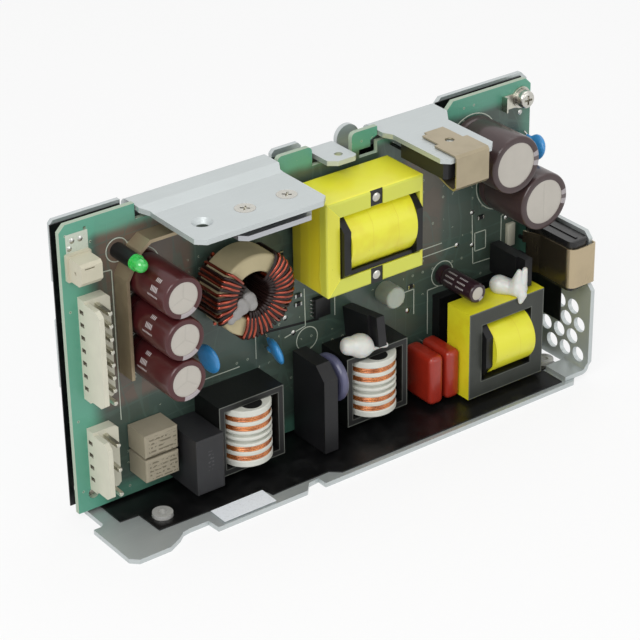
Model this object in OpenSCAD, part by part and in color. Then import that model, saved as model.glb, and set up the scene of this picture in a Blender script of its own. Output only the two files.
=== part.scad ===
// Open frame switching power supply: a component board stood on its long edge in a folded aluminium tray.
// Built flat, with u along the board, v up it from the ground and h off its component face, then stood up.

/* [Board] */
// Length of the circuit board
board_w = 165; // [160:1:180]
// Height of the circuit board
board_h = 90; // [88:1:96]
// Thickness of the circuit board
board_t = 1.6; // [1:0.2:2.4]
// Height of the board's lower edge above the ground
board_lift = 2.8; // [2.4:0.1:4]
// Space between the board and the back plate
board_gap = 4.4; // [3.5:0.1:7]
// Size of the chamfered board corners
board_cut = 2; // [1:0.5:4]
// Depth of the notches that let the top flanges pass
flange_notch = 4.8; // [4.4:0.1:5.5]
// Radius of a screw hole in the board
board_hole_r = 1.75; // [1.6:0.05:2.2]

/* [Tray] */
// Thickness of the aluminium sheet
sheet_t = 1.5; // [1:0.1:2]
// Outer radius of the bends
bend_r = 2.5; // [2.2:0.1:3.5]
// Reach of the floor in front of the board
floor_reach = 28; // [26:0.5:34]
// Space between the board's end and the end plate
end_gap = 2.1; // [1.5:0.1:4]
// Distance of the end plate's top below the board's top
end_drop = 42.8; // [40:0.2:43]
// Diameter of a vent hole
vent_d = 4.9; // [3:0.1:5.2]
// Distance between neighbouring vent holes
vent_pitch = 6; // [5.6:0.1:6.4]
// Core radius of an M3 thread
thread_r = 1.25; // [1.2:0.01:1.3]
// Outer radius of a clinch nut
nut_r = 3; // [2.5:0.1:3.2]
// Distance of the right clinch nut from the board's right end
nut_end = 3; // [2:0.5:5]
// Distance of the clinch nuts from the board's face
nut_reach = 13.5; // [12:0.5:15]
// Outer radius of a board standoff
standoff_r = 3; // [2.4:0.1:3.4]
// Thickness of the insulating film
film_t = 0.4; // [0.2:0.05:0.5]

/* [Left Top Flange] */
// Distance of the flange's left side from the middle of the board
flange_a_off = 56.5; // [55.5:0.5:57.5]
// Width of the left flange
flange_a_w = 43; // [41:0.5:44]
// Step down of the flange in front of the board
flange_a_drop = 0.8; // [0.4:0.1:1.2]
// Distance between neighbouring countersunk holes
clamp_pitch = 13.9; // [13:0.1:14.4]
// Distance of the countersunk holes from the board's face
clamp_reach = 18.2; // [17:0.1:19]
// Thickness of the clamp plate
clamp_t = 1.5; // [1:0.1:2]
// Thickness of a rectifier package
rectifier_t = 3.4; // [2.6:0.1:3.6]
// Width of a rectifier package
rectifier_w = 10.2; // [9:0.1:11]

/* [Other Top Flanges] */
// Distance of the middle flange from the middle of the board
flange_b_off = 2.5; // [2.1:0.1:3.1]
// Width of the middle flange
flange_b_w = 9.5; // [8:0.5:10.5]
// Space between the middle and the right flange
flange_c_gap = 14; // [13.1:0.1:14.5]
// Width of the right flange
flange_c_w = 19.2; // [17.5:0.1:20]
// Reach of the right flange in front of the board
flange_c_reach = 28.5; // [28:0.1:30]
// Thickness of the spring clips
clip_t = 0.5; // [0.3:0.05:0.6]
// Width of the top clip
top_clip_w = 12; // [10:0.5:13]
// Width of the side clip
side_clip_w = 13; // [11:0.5:14]
// Width of the power switch
switch_w = 15.5; // [14:0.1:16]
// Thickness of the power switch
switch_t = 5; // [4.6:0.1:5.2]

/* [Connectors] */
// Distance between neighbouring output pins
pin_pitch = 3.96; // [3.7:0.01:4]
// Number of output pins
output_pin_count = 8; // [6:1:8]
// Number of mains pins, two pitches apart
mains_pin_count = 3; // [2:1:3]
// Side of a square pin
pin_side = 1.14; // [0.8:0.01:1.2]
// Height of a pin above the board
pin_h = 10.6; // [8:0.1:12]
// Height of a header's lock wall
lock_h = 11; // [8:0.5:12]

/* [Toroid Choke] */
// Outer radius of the ring core
ring_or = 12.4; // [11.5:0.1:12.6]
// Inner radius of the ring core
ring_ir = 7; // [6.4:0.1:7.6]
// Height of the ring core
ring_h = 10.6; // [8:0.1:12]
// Diameter of the winding wire
wire_d = 1; // [0.6:0.05:1.2]
// Space between neighbouring turns where they pass through the ring
turn_gap = 0.07; // [0.05:0.01:0.6]

/* [Main Transformer] */
// Width of the main transformer
main_w = 34.7; // [33:0.1:35]
// Height of the main transformer
main_v = 29.5; // [28:0.1:30]
// Front of the main transformer above the board
main_front = 18.6; // [17:0.1:20]
// Radius of its wound barrel
main_barrel_r = 10.8; // [10.2:0.1:11]

/* [Auxiliary Transformer] */
// Width of the auxiliary transformer
aux_w = 29.2; // [28:0.1:30]
// Height of the auxiliary transformer
aux_v = 29; // [28:0.1:29.4]
// Front of the auxiliary transformer above the board
aux_front = 19.5; // [18:0.1:21]
// Radius of its wound barrel
aux_barrel_r = 9; // [8.4:0.1:9.4]

/* [Common Mode Chokes] */
// Width of a choke's core
choke_w = 22.4; // [21.5:0.1:22.8]
// Height of a choke's core
choke_v = 23; // [22.4:0.1:23.2]
// Thickness of a choke's core off the board
choke_front = 12.5; // [11:0.1:13.5]
// Radius of the bobbin's flanges
spool_r = 7.8; // [7:0.1:8.4]
// Width of one wound slot
slot_w = 1.6; // [1.4:0.05:1.8]

/* [Capacitors] */
// Diameter of an output capacitor
output_cap_d = 12.5; // [11:0.1:12.6]
// Height of an output capacitor
output_cap_h = 22; // [18:0.5:25]
// Diameter of a bulk capacitor
bulk_cap_d = 18; // [16:0.1:18.4]
// Height of a bulk capacitor
bulk_cap_h = 20.2; // [18:0.2:25]
// Diameter of the small capacitor
small_cap_d = 6.3; // [5:0.1:6.6]
// Height of the small capacitor
small_cap_h = 17; // [11:0.5:18]
// Thickness of a film capacitor
film_cap_t = 5.2; // [4.5:0.1:5.4]
// Height of a film capacitor along the board
film_cap_v = 15.6; // [14:0.1:16]

/* [Small Parts] */
// Width of a box fuse
fuse_w = 11; // [10:0.1:12]
// Height of a box fuse along the board
fuse_v = 7.2; // [6.5:0.1:7.3]
// Height of a box fuse off the board
fuse_front = 9.4; // [8:0.1:11]
// Width of the box capacitor
box_cap_w = 9.3; // [8:0.1:9.6]
// Height of the box capacitor off the board
box_cap_front = 15.5; // [13:0.1:17]
// Thickness of the bridge rectifier
bridge_t = 4.8; // [4:0.1:5]
// Height of the bridge rectifier off the board
bridge_front = 17.5; // [15:0.1:19]
// Radius of the thermistor disc
thermistor_r = 7.5; // [6.5:0.1:8]
// Diameter of the indicator lamp
lamp_d = 4; // [3:0.1:5]
// Diameter of the tube below the lamp
lamp_tube_d = 4.5; // [4:0.1:5]
// Length of the tube below the lamp
lamp_tube_h = 9.2; // [6:0.1:10]
// Radius of a blue disc capacitor
disc_r = 4; // [3.5:0.1:4.4]
// Thickness of a blue disc capacitor
disc_t = 2.6; // [2:0.1:3]
// Thickness of the thermistor disc
thermistor_t = 3.2; // [2.6:0.1:3.4]

/* [Hidden] */
$fn = 48;
eps = 0.01;

board_top = board_lift + board_h;
board_back = -board_t;
plate_front = board_back - board_gap;
plate_back = plate_front - sheet_t;
bend_h = plate_back + bend_r;
end_inner = board_w + end_gap;
end_outer = end_inner + sheet_t;
end_h = board_top - end_drop;
middle_u = board_w / 2;
film_top = sheet_t + film_t;
clip_slack = 0.3;
fit = 0.1;

// Ends of the whole part, which centre it over its own footprint
front_end = flange_c_reach + clip_slack + clip_t;
right_end = end_outer + clip_t;

// Board details
notch_v = board_top - flange_notch;
mount_u = 5.3;
mount_v = 8;
ground_u = board_w - 4;
ground_v = board_top - 5.4;
hidden_mount_u = board_w - 5;
standoff_places = [[mount_u, mount_v], [ground_u, ground_v], [hidden_mount_u, mount_v]];
shank_r = standoff_r - 0.9;

// Places and heights of the three top flanges
flange_a_u = middle_u - flange_a_off;
flange_b_u = middle_u + flange_b_off;
flange_c_u = flange_b_u + flange_b_w + flange_c_gap;
flange_a_back = board_top - 0.8;
flange_a_top = flange_a_back - flange_a_drop;
flange_b_top = board_top - 3.3;
flange_c_top = board_top - 1.6;
flange_a_u2 = flange_a_u + flange_a_w;
clamp_u = flange_a_u + 7.5;
countersink_r = 3.05;
tap_b = [flange_b_u + 5.5, 2.8];

// Clinch nuts
nut_u = 19.2;
nut_places = [[nut_u, nut_reach], [board_w - nut_end, nut_reach]];
nut_h = sheet_t;

// Headers and small parts along the left edge, from the bottom or the top of the board
header_u = 4.3;
header_w = 8.2;
header_base_h = 3.4;
header_end = 1.95;
pin_u = header_u + 3.8;
output_pin_v = board_top - 51.9;
mains_pin_v = 11.6;
signal_place = [5.1, board_top - 12.6];
lamp_place = [17.6, board_top - 12.1];
output_cap_place = [24.2, board_top - 45.5];

// Rows of parts from the left end, the middle and the right end of the board
choke_bottom = 5.4;
choke_1_u = 40.2;
choke_2_u = middle_u + 3.1;
bridge_u = choke_2_u - 12.1;
aux_u = board_w * 3 / 4 + 2.55;
aux_bottom = 3.4;
film_cap_gap = 1.4;
film_cap_u = aux_u - 2 * film_cap_t - film_cap_gap - 0.1;
film_cap_bottom = 3.8;
toroid_place = [middle_u - 29, board_top - 32.3];
main_u = middle_u - 8.1;
main_bottom = board_top - 38.5;
bulk_cap_places = [[board_w - 22.6, board_top - 15.5], [board_w - 11.1, board_top - 30.7]];
small_cap_place = [aux_u + 5.1, aux_bottom + aux_v + 4.8];
spacer_place = [middle_u + 26.6, 38.3];
disc_places = [[43, 40], [middle_u - 15.1, 35.4], [ground_u + 2, ground_v - 12.8]];
thermistor_place = [choke_2_u - 3.8, 22.6];

// Turns an outline drawn in (u, v) into a plate that lies in the board's plane
module flat(h0, t) {
    translate([0, 0, h0]) linear_extrude(t) children();
}

// Turns an outline drawn in (u, h) into a level shelf
module shelf(v0, t) {
    translate([0, v0 + t, 0]) rotate([90, 0, 0]) linear_extrude(t) children();
}

// Turns an outline drawn in (v, h) into an upright wall across the board
module wall(u0, t) {
    translate([u0, 0, 0]) rotate([90, 0, 90]) linear_extrude(t) children();
}

// A cylinder that hangs down from height v
module drop(u, v, h, r, length) {
    translate([u, v, h]) rotate([90, 0, 0]) cylinder(h = length, r = r);
}

// Stands the flat model up on its long edge, centred over its own footprint
module stand_up() {
    translate([-right_end / 2, (front_end + plate_back) / 2, 0]) rotate([90, 0, 0]) children();
}

// Quarter of a ring, the section of a bend, that lies towards the given signs of its two axes,
// with short straight ends that reach into the sheets it joins
module bend_section(r, t, a, b) {
    lap = 0.05;
    intersection() {
        difference() {
            circle(r);
            circle(r - t);
        }
        translate([a > 0 ? 0 : -r, b > 0 ? 0 : -r]) square(r);
    }
    translate([a > 0 ? -lap : 0, b > 0 ? r - t : -r]) square([lap, t]);
    translate([a > 0 ? r - t : -r, b > 0 ? -lap : 0]) square([t, lap]);
}

// Rectangle with its lower left corner at the origin and rounded corners
module rounded(w, h, r) {
    translate([r, 0]) square([w - 2 * r, h]);
    translate([0, r]) square([w, h - 2 * r]);
    for (x = [r, w - r], y = [r, h - r]) translate([x, y]) circle(r);
}

// Block whose edges are all rounded
module pillow(w, v, h, r) {
    intersection() {
        linear_extrude(h) rounded(w, v, r);
        shelf(0, v) rounded(w, h, r);
        wall(0, w) rounded(v, h, r);
    }
}

// Block from one corner to the opposite one
module block(from, to) {
    translate(from) cube(to - from);
}

// Points of an arc
function arc(centre, r, from, to, steps) =
    [for (i = [0:steps]) let(a = from + (to - from) * i / steps) centre + r * [cos(a), sin(a)]];

// Outline of a strip of even thickness along a path
function unit(a) = a / norm(a);
function normal(a) = [-a[1], a[0]];
function path_side(p, off) = [
    for (i = [0:len(p) - 1])
        let(
            before = unit(i > 0 ? p[i] - p[i - 1] : p[1] - p[0]),
            after = unit(i < len(p) - 1 ? p[i + 1] - p[i] : p[i] - p[i - 1]),
            across = normal(unit(before + after))
        )
        p[i] + across * off / (across * normal(before))
];
function turned(p) = [for (i = [len(p) - 1:-1:0]) p[i]];

module strip(path, t) {
    polygon(concat(path_side(path, t / 2), turned(path_side(path, -t / 2))));
}

// Folded tray

tab_depth = 9.2;
tab_front = floor_reach - 1.2;
tab_u = end_outer - bend_r - 7;
press_gap = 0.05;
back_left = 1;
back_recess = 3.6;
back_top = board_top - 0.8;
relief = 1.2;
post_r = 4;
post_u = flange_b_u + flange_b_w + 2 + post_r;
clip_seat_v = end_h - 16.5;
clip_recess = 2;
root_a = [flange_a_u - 1.8, flange_a_u2 + 1.8];
root_c = [flange_c_u - 1.5, flange_c_u + flange_c_w + 4];

module back_outline() {
    tab_left = flange_a_u2 + 4.5;
    chamfer = 2.2;
    polygon([
        [back_recess, bend_r], [back_recess, 38.5], [back_left, 40.5], [back_left, 61.4],
        [back_recess, 64.4], [back_recess, 70.5], [back_left, 73.5], [back_left, back_top - 1],
        [back_left + 1, back_top], [root_a[0] - relief, back_top],
        [root_a[0] - relief, notch_v - relief], [root_a[0], notch_v - relief],
        [root_a[0], flange_a_back - bend_r], [root_a[1], flange_a_back - bend_r],
        [root_a[1], notch_v - relief], [tab_left - relief, notch_v - relief], [tab_left, notch_v],
        [tab_left, back_top - 1], [tab_left + 1, back_top],
        [flange_b_u - relief - 1, back_top], [flange_b_u - relief, back_top - 1],
        [flange_b_u - relief, flange_b_top - bend_r - relief],
        [flange_b_u, flange_b_top - bend_r - relief], [flange_b_u, flange_b_top - bend_r],
        [flange_b_u + flange_b_w, flange_b_top - bend_r],
        [flange_b_u + flange_b_w, flange_b_top - bend_r - relief],
        [root_c[0], flange_b_top - bend_r - relief], [root_c[0], flange_c_top - bend_r],
        [root_c[1], flange_c_top - bend_r], [root_c[1], notch_v], [root_c[1] + relief, notch_v],
        [root_c[1] + relief, back_top - chamfer], [root_c[1] + relief + chamfer, back_top],
        [end_outer - chamfer, back_top], [end_outer, back_top - chamfer],
        [end_outer, end_h + relief], [end_outer - bend_r, end_h + relief],
        [end_outer - bend_r, bend_r]
    ]);
    // Rounded post between the middle and the right flange
    translate([post_u, board_top - post_r]) circle(post_r);
    translate([post_u - post_r, notch_v - 6]) square([2 * post_r, board_top - post_r - notch_v + 6]);
}

module floor_outline() {
    corner = 2.2;
    notch = [12.5, 4.5];
    slit = [floor_reach - 3.5, floor_reach - 4.5];
    polygon([
        [back_recess, bend_h], [back_recess, 6.6], [back_recess - 1, 7.6], [0, 7.6],
        [0, floor_reach - corner], [corner, floor_reach],
        [notch[0], floor_reach], [notch[0] + 4.5, floor_reach - 2.3],
        [notch[0] + 6.7, floor_reach - 4.1], [notch[0] + 9.1, floor_reach - notch[1]],
        [28, floor_reach - notch[1]], [28.4, floor_reach], [59.3, floor_reach],
        [62.1, floor_reach - 3.1], [65.7, slit[0]], [65.8, floor_reach],
        [board_w - 3.5, floor_reach], [board_w, floor_reach - 3.5], [board_w, bend_h]
    ]);
}

module end_outline() {
    polygon(concat(
        [[sheet_t + fit, bend_h], [end_h, bend_h], [end_h, floor_reach - clip_recess - 2]],
        [[end_h - 2, floor_reach - clip_recess]],
        [[clip_seat_v - 0.5, floor_reach - clip_recess], [clip_seat_v - 2.5, floor_reach]],
        [[sheet_t + bend_r + 2, floor_reach], [sheet_t + bend_r, tab_front]],
        [[sheet_t + bend_r, tab_front - tab_depth], [sheet_t + fit, tab_front - tab_depth]]
    ));
}

// Ten vents in four staggered rows, the two upper rows partly behind the flap of film
module vents() {
    vent_rows = [3, 3, 2, 2];
    row_step = vent_pitch * sin(60);
    for (row = [0:len(vent_rows) - 1], i = [0:vent_rows[row] - 1])
        translate([
            7.05 + row * row_step,
            floor_reach - 4.6 - i * vent_pitch - (row % 2) * vent_pitch / 2
        ]) circle(d = vent_d);
}

// One top flange: a section in (v, h), cut to an outline in (u, h), on its bend
module top_flange(u0, u1, top, outline, section) {
    intersection() {
        wall(u0, u1 - u0) polygon(section);
        shelf(top - 2 * bend_r, 2 * bend_r) polygon(outline);
    }
    wall(u0, u1 - u0) translate([top - bend_r, bend_h]) bend_section(bend_r, sheet_t, 1, -1);
}

function level_section(top, reach) =
    [[top - sheet_t, bend_h], [top, bend_h], [top, reach], [top - sheet_t, reach]];
function joggled_section(top, low, reach) = [
    [top - sheet_t, bend_h], [top, bend_h], [top, 1], [low, 6], [low, reach],
    [low - sheet_t, reach], [low - sheet_t, 6 - sheet_t / 4], [top - sheet_t, 1 - sheet_t / 4]
];

module left_flange() {
    chamfer = 2.5;
    difference() {
        top_flange(
            root_a[0], root_a[1], flange_a_back,
            [
                [root_a[0], bend_h - eps], [root_a[0], 1.5], [flange_a_u, 4.5],
                [flange_a_u, floor_reach - chamfer], [flange_a_u + chamfer, floor_reach],
                [flange_a_u2 - chamfer, floor_reach], [flange_a_u2, floor_reach - chamfer],
                [flange_a_u2, 4.5], [root_a[1], 1.5], [root_a[1], bend_h - eps]
            ],
            joggled_section(flange_a_back, flange_a_top, floor_reach)
        );
        for (i = [0:2]) {
            drop(clamp_u + i * clamp_pitch, flange_a_top + 1, clamp_reach, board_hole_r, sheet_t + 2);
            translate([clamp_u + i * clamp_pitch, flange_a_top + eps, clamp_reach])
                rotate([90, 0, 0])
                cylinder(h = countersink_r - board_hole_r, r1 = countersink_r, r2 = board_hole_r);
        }
    }
}

module middle_flange() {
    reach = 6.8;
    difference() {
        top_flange(
            flange_b_u, flange_b_u + flange_b_w, flange_b_top,
            [
                [flange_b_u, bend_h - eps], [flange_b_u, reach - 2], [flange_b_u + 2.5, reach],
                [flange_b_u + flange_b_w - 1, reach], [flange_b_u + flange_b_w, reach - 1],
                [flange_b_u + flange_b_w, bend_h - eps]
            ],
            level_section(flange_b_top, reach)
        );
        drop(tap_b[0], flange_b_top + 1, tap_b[1], thread_r, sheet_t + 2);
    }
}

module right_flange() {
    chamfer = 2.2;
    u2 = flange_c_u + flange_c_w;
    top_flange(
        root_c[0], root_c[1], flange_c_top,
        [
            [root_c[0], bend_h - eps], [root_c[0], 2], [flange_c_u, 5],
            [flange_c_u, flange_c_reach - chamfer], [flange_c_u + chamfer, flange_c_reach],
            [u2 - chamfer, flange_c_reach], [u2, flange_c_reach - chamfer],
            [u2, 6.5], [root_c[1], 1], [root_c[1], bend_h - eps]
        ],
        level_section(flange_c_top, flange_c_reach)
    );
}

module chassis() {
    bend_u2 = board_w - relief;
    color("gainsboro") stand_up() {
        difference() {
            flat(plate_back, sheet_t) back_outline();
            for (p = standoff_places) translate([p[0], p[1], plate_back - 1])
                cylinder(h = sheet_t + 2, r = shank_r);
        }
        difference() {
            shelf(0, sheet_t) floor_outline();
            for (p = nut_places) drop(p[0], sheet_t + 1, p[1], nut_r - 0.8, sheet_t + 2);
        }
        wall(back_recess, bend_u2 - back_recess)
            translate([bend_r, bend_h]) bend_section(bend_r, sheet_t, -1, -1);
        difference() {
            wall(end_inner, sheet_t) end_outline();
            wall(end_inner - 1, sheet_t + 2) vents();
        }
        shelf(bend_r, end_h - bend_r)
            translate([end_outer - bend_r, bend_h]) bend_section(bend_r, sheet_t, 1, -1);
        // Tab that the end plate turns in over the floor
        flat(tab_front - tab_depth, tab_depth)
            translate([end_outer - bend_r, sheet_t + fit + bend_r]) bend_section(bend_r, sheet_t, 1, -1);
        block(
            [tab_u, sheet_t + fit, tab_front - tab_depth],
            [end_outer - bend_r, 2 * sheet_t + fit, tab_front]
        );
        left_flange();
        middle_flange();
        right_flange();
    }
}

// Black film between the board and the tray, folded forward over the floor and along the end plate

module insulating_sheet() {
    bend = bend_r - sheet_t;
    bend_at = [sheet_t + bend, plate_front + bend];
    film_left = 0.6;
    film_high = board_top - 1.8;
    film_low = notch_v - 2.2;
    floor_u = 7.8;
    flap_v = [15.3, end_h - 3];
    flap_reach = 14.9;
    label_u = [30.6, 49.1];
    flap_u = end_inner - film_t;
    color([0.06, 0.06, 0.07]) stand_up() {
        difference() {
            flat(plate_front, film_t) polygon([
                [film_left, sheet_t + bend], [film_left, film_high],
                [root_a[0] - 1.5, film_high], [root_a[0] - 1.5, film_low],
                [root_a[1] + 1.5, film_low], [root_a[1] + 1.5, film_high - 1],
                [flange_b_u - 2, film_high - 1], [flange_b_u - 2, film_low - 1.6],
                [flange_b_u + flange_b_w + 2, film_low - 1.6], [root_c[1] + 1, film_low - 1.6],
                [root_c[1] + 1, film_high], [end_inner - 1, film_high], [end_inner - 1, flap_v[1] + 1],
                [flap_u - bend, flap_v[1]], [flap_u - bend, sheet_t + bend]
            ]);
            for (p = standoff_places) translate([p[0], p[1], plate_front - 1])
                cylinder(h = 4, r = standoff_r + 0.2);
        }
        wall(floor_u, board_w - 2 - floor_u) translate(bend_at) bend_section(bend, film_t, -1, -1);
        difference() {
            shelf(sheet_t, film_t) polygon([
                [floor_u, bend_at[1]], [floor_u, 9], [13.9, 9.4], [14.3, 19.3], [label_u[0], 19.8],
                [label_u[0] + 0.5, 19.8], [label_u[1], 19.8], [label_u[1] + 1, 24],
                [label_u[1] + 5, floor_reach - 4.2], [70, floor_reach - 4.2], [73, floor_reach - 1.6],
                [tab_u - 1, floor_reach - 1.6], [tab_u - 1, tab_front - tab_depth - 0.6],
                [board_w - 1, tab_front - tab_depth - 0.6], [board_w - 2, bend_at[1]]
            ]);
            for (p = nut_places) drop(p[0], film_top + 1, p[1], nut_r + 0.2, film_t + 2);
        }
        shelf(flap_v[0], flap_v[1] - flap_v[0])
            translate([end_inner - bend, plate_front + bend]) bend_section(bend, film_t, 1, -1);
        block([flap_u, flap_v[0], plate_front + bend], [end_inner, flap_v[1], flap_reach]);
        block(
            [flap_u - bend - eps, flap_v[0], plate_front],
            [end_inner - bend, flap_v[1], plate_front + film_t]
        );
    }
}

module standoffs() {
    color("silver") stand_up() for (p = standoff_places) translate([p[0], p[1], 0]) difference() {
        union() {
            translate([0, 0, plate_front]) cylinder(h = board_gap, r = standoff_r);
            translate([0, 0, plate_back]) cylinder(h = sheet_t + eps, r = shank_r - press_gap);
        }
        translate([0, 0, plate_back - 1]) cylinder(h = board_gap + sheet_t + 2, r = thread_r);
    }
}

module clinch_nuts() {
    color("silver") stand_up() for (p = nut_places) difference() {
        union() {
            drop(p[0], sheet_t + nut_h, p[1], nut_r, nut_h);
            drop(p[0], sheet_t + eps, p[1], nut_r - 0.8 - press_gap, sheet_t + eps);
        }
        drop(p[0], sheet_t + nut_h + 1, p[1], thread_r, sheet_t + nut_h + 2);
    }
}

// Circuit board

pin_hole_r = pin_side * 0.5 * sqrt(2) + 0.03;
function output_pin_at(i) = [pin_u, output_pin_v + i * pin_pitch];
function mains_pin_at(i) = [pin_u, mains_pin_v + 2 * i * pin_pitch];
spare_pins = [[3.2, board_top - 8.2], [5.6, board_top - 5.2], [8, board_top - 2.6]];
spare_pin_r = 0.5;

module board_outline() {
    round_r = 1.5;
    tab_1 = [flange_a_u2 + 2.3, flange_b_u - 1.7];
    tab_2 = [flange_b_u + flange_b_w + 2.9, root_c[0] - 0.4];
    step_u = root_c[1] + 0.7;
    hook = [tab_2[0] + 2.6, notch_v - 3.5, 2.5];
    polygon(concat(
        [[0, board_lift], [board_w, board_lift], [board_w, board_top - board_cut]],
        [[board_w - board_cut, board_top], [step_u + 2.5, board_top], [step_u, board_top - 2.5]],
        [[step_u, notch_v], [tab_2[1], notch_v]],
        [[tab_2[1], hook[1]], [hook[0], hook[1]], [hook[0], hook[1] + hook[2]]],
        [[tab_2[1] - 2.5, hook[1] + hook[2]], [tab_2[1] - 2.5, notch_v + 1], [tab_2[1], notch_v + 2]],
        [[tab_2[1], board_top]],
        arc([tab_2[0] + round_r, board_top - round_r], round_r, 90, 180, 5),
        [[tab_2[0], notch_v - 1.2], [tab_1[1], notch_v - 1.2]],
        arc([tab_1[1] - round_r, board_top - round_r], round_r, 0, 90, 5),
        arc([tab_1[0] + round_r, board_top - round_r], round_r, 90, 180, 5),
        [[tab_1[0], notch_v], [flange_a_u - 2.2, notch_v], [flange_a_u - 2.2, board_top]],
        [[board_cut, board_top], [0, board_top - board_cut]]
    ));
}

module circuit_board() {
    color([0.2, 0.45, 0.38]) stand_up() flat(board_back, board_t) difference() {
        board_outline();
        for (p = standoff_places) translate(p) circle(board_hole_r);
        for (i = [0:output_pin_count - 1]) translate(output_pin_at(i)) circle(pin_hole_r);
        for (i = [0:mains_pin_count - 1]) translate(mains_pin_at(i)) circle(pin_hole_r);
        for (p = spare_pins) translate(p) circle(spare_pin_r);
    }
}

// Ground screw with its washers and lug

lug_t = 0.5;
washer_t = 0.5;
spring_t = 0.8;
head_seat = lug_t + washer_t + spring_t;

module ground_screw() {
    head_h = 1.9;
    cross = 0.7;
    color("silver") stand_up() translate([ground_u, ground_v, 0]) {
        difference() {
            translate([0, 0, head_seat]) rotate_extrude() polygon(concat(
                [[0, 0], [2.75, 0], [2.75, head_h - 0.9]],
                arc([1.85, head_h - 0.9], 0.9, 20, 90, 5), [[0, head_h]]
            ));
            for (a = [0, 90]) rotate([0, 0, a]) translate([-1.5, -cross / 2, head_seat + 0.8])
                cube([3, cross, head_h]);
        }
        translate([0, 0, board_back]) cylinder(h = head_seat - board_back + eps, r = thread_r + 0.2);
        translate([0, 0, plate_front]) cylinder(h = board_gap + eps, r = thread_r - 0.05);
    }
}

module spring_washer() {
    color("silver") stand_up() translate([ground_u, ground_v, lug_t + washer_t]) difference() {
        cylinder(h = spring_t, r = 2.6);
        translate([0, 0, -1]) cylinder(h = 3, r = 1.6);
        rotate([0, 0, 200]) translate([1, -0.2, -1]) cube([3, 0.4, 3]);
    }
}

module flat_washer() {
    color("silver") stand_up() translate([ground_u, ground_v, lug_t]) difference() {
        cylinder(h = washer_t, r = 3.2);
        translate([0, 0, -1]) cylinder(h = 3, r = 1.65);
    }
}

module ground_lug() {
    tongue = 7.2;
    color("silver") stand_up() translate([ground_u, ground_v, 0]) difference() {
        union() {
            cylinder(h = lug_t, r = 3.4);
            translate([-tongue, -2.7, 0]) cube([tongue, 4.6, lug_t]);
            translate([-tongue, -2.7, 0]) cube([lug_t, 4.6, 2.4]);
        }
        translate([0, 0, -1]) cylinder(h = 3, r = 1.65);
    }
}

// Rectifiers clamped below the left flange

flange_a_under = flange_a_top - sheet_t;
clamp_top = flange_a_under - rectifier_t - fit;
function clamp_hole(i) = clamp_u + i * clamp_pitch;

module clamp_screws() {
    head = countersink_r - fit;
    slope = head - 1.5;
    color("silver") stand_up() for (i = [1, 2]) translate([clamp_hole(i), flange_a_top, clamp_reach])
        rotate([90, 0, 0]) difference() {
            union() {
                cylinder(h = slope, r1 = head, r2 = 1.5);
                cylinder(h = flange_a_top - clamp_top - fit, r = 1.5);
                cylinder(h = flange_a_top - clamp_top + clamp_t, r = thread_r - 0.05);
            }
            for (a = [45, 135]) rotate([0, 0, a]) translate([-1.4, -0.3, -eps]) cube([2.8, 0.6, 0.9]);
        }
}

module clamp_plate() {
    u0 = clamp_hole(1) - 5.4;
    u1 = clamp_hole(2) + 6.6;
    reach = [clamp_reach - 8.5, clamp_reach + 6.3];
    chamfer = 2;
    color("lightgray") stand_up() difference() {
        shelf(clamp_top - clamp_t, clamp_t) polygon([
            [u0, reach[0]], [u1, reach[0]], [u1, reach[1] - 2 * chamfer],
            [u1 - 1.5 * chamfer, reach[1]], [u0 + chamfer, reach[1]], [u0, reach[1] - chamfer]
        ]);
        for (i = [1, 2]) drop(clamp_hole(i), clamp_top + 1, clamp_reach, thread_r, clamp_t + 2);
    }
}

// Flat package with a row of leads that step down to the board's face
module flat_package(w, t, length, hole) {
    difference() {
        translate([-w / 2, 0, 0]) shelf(0, t) polygon([
            [0, 0.4], [0.4, 0], [w - 0.4, 0], [w, 0.4], [w, length - 1], [w - 1, length],
            [1, length], [0, length - 1]
        ]);
        if (hole > 0) drop(0, t + 1, length - 3.2, hole, t + 2);
    }
}

module lead_row(leads, lead_pitch, v, from) {
    for (i = [0:leads - 1])
        translate([(i - (leads - 1) / 2) * lead_pitch - 0.4, v, 0]) cube([0.8, 0.6, from + eps]);
}

module rectifiers() {
    back = clamp_reach - 12.6;
    under = flange_a_under - fit / 2 - rectifier_t;
    color("dimgray") stand_up() for (i = [1, 2]) translate([clamp_hole(i), under, 0]) {
        translate([0, 0, back]) flat_package(rectifier_w, rectifier_t, 15.8, 1.65);
        lead_row(3, 2.54, 0.6, back);
    }
}

switch_u = flange_c_u + 1 + switch_w / 2;
switch_under = flange_c_top - sheet_t - fit / 2 - switch_t;

module power_switch() {
    back = 7;
    color("dimgray") stand_up() translate([switch_u, switch_under, 0]) {
        translate([0, 0, back]) flat_package(switch_w, switch_t, 20.4, 0);
        lead_row(3, 5.45, 0.8, back);
    }
}

// Spring clip over the right flange and the power switch below it
module spring_clip_top() {
    mid_h = front_end - clip_t / 2;
    leg_v = flange_c_top + 0.2 + clip_t / 2;
    low_v = switch_under - 3.6;
    tip_v = switch_under - 0.1 - clip_t / 2;
    clip_u = switch_u + 0.7;
    color("darkkhaki") stand_up() difference() {
        wall(clip_u - top_clip_w / 2, top_clip_w) strip([
            [leg_v, 10.6], [leg_v, mid_h - 0.6], [leg_v - 0.6, mid_h], [low_v + 1, mid_h],
            [low_v, mid_h - 0.9], [low_v + 0.3, mid_h - 3], [tip_v, 18], [tip_v - 1.4, 14]
        ], clip_t);
        // Waist and rounded end of the upper leg, with its pick-up hole
        for (s = [-1, 1]) translate([clip_u + s * top_clip_w / 2, leg_v - 1, 0]) {
            translate([-1.6, 0, 9]) cube([3.2, 2, 10.5]);
            translate([-0.8 + s * -0.9, 0, 9]) cube([3.4, 2, 3]);
        }
        drop(clip_u, leg_v + 1, 18.9, 1.4, 2);
    }
}

// Device on the end plate under a rubber boot, held by the side clip

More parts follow.
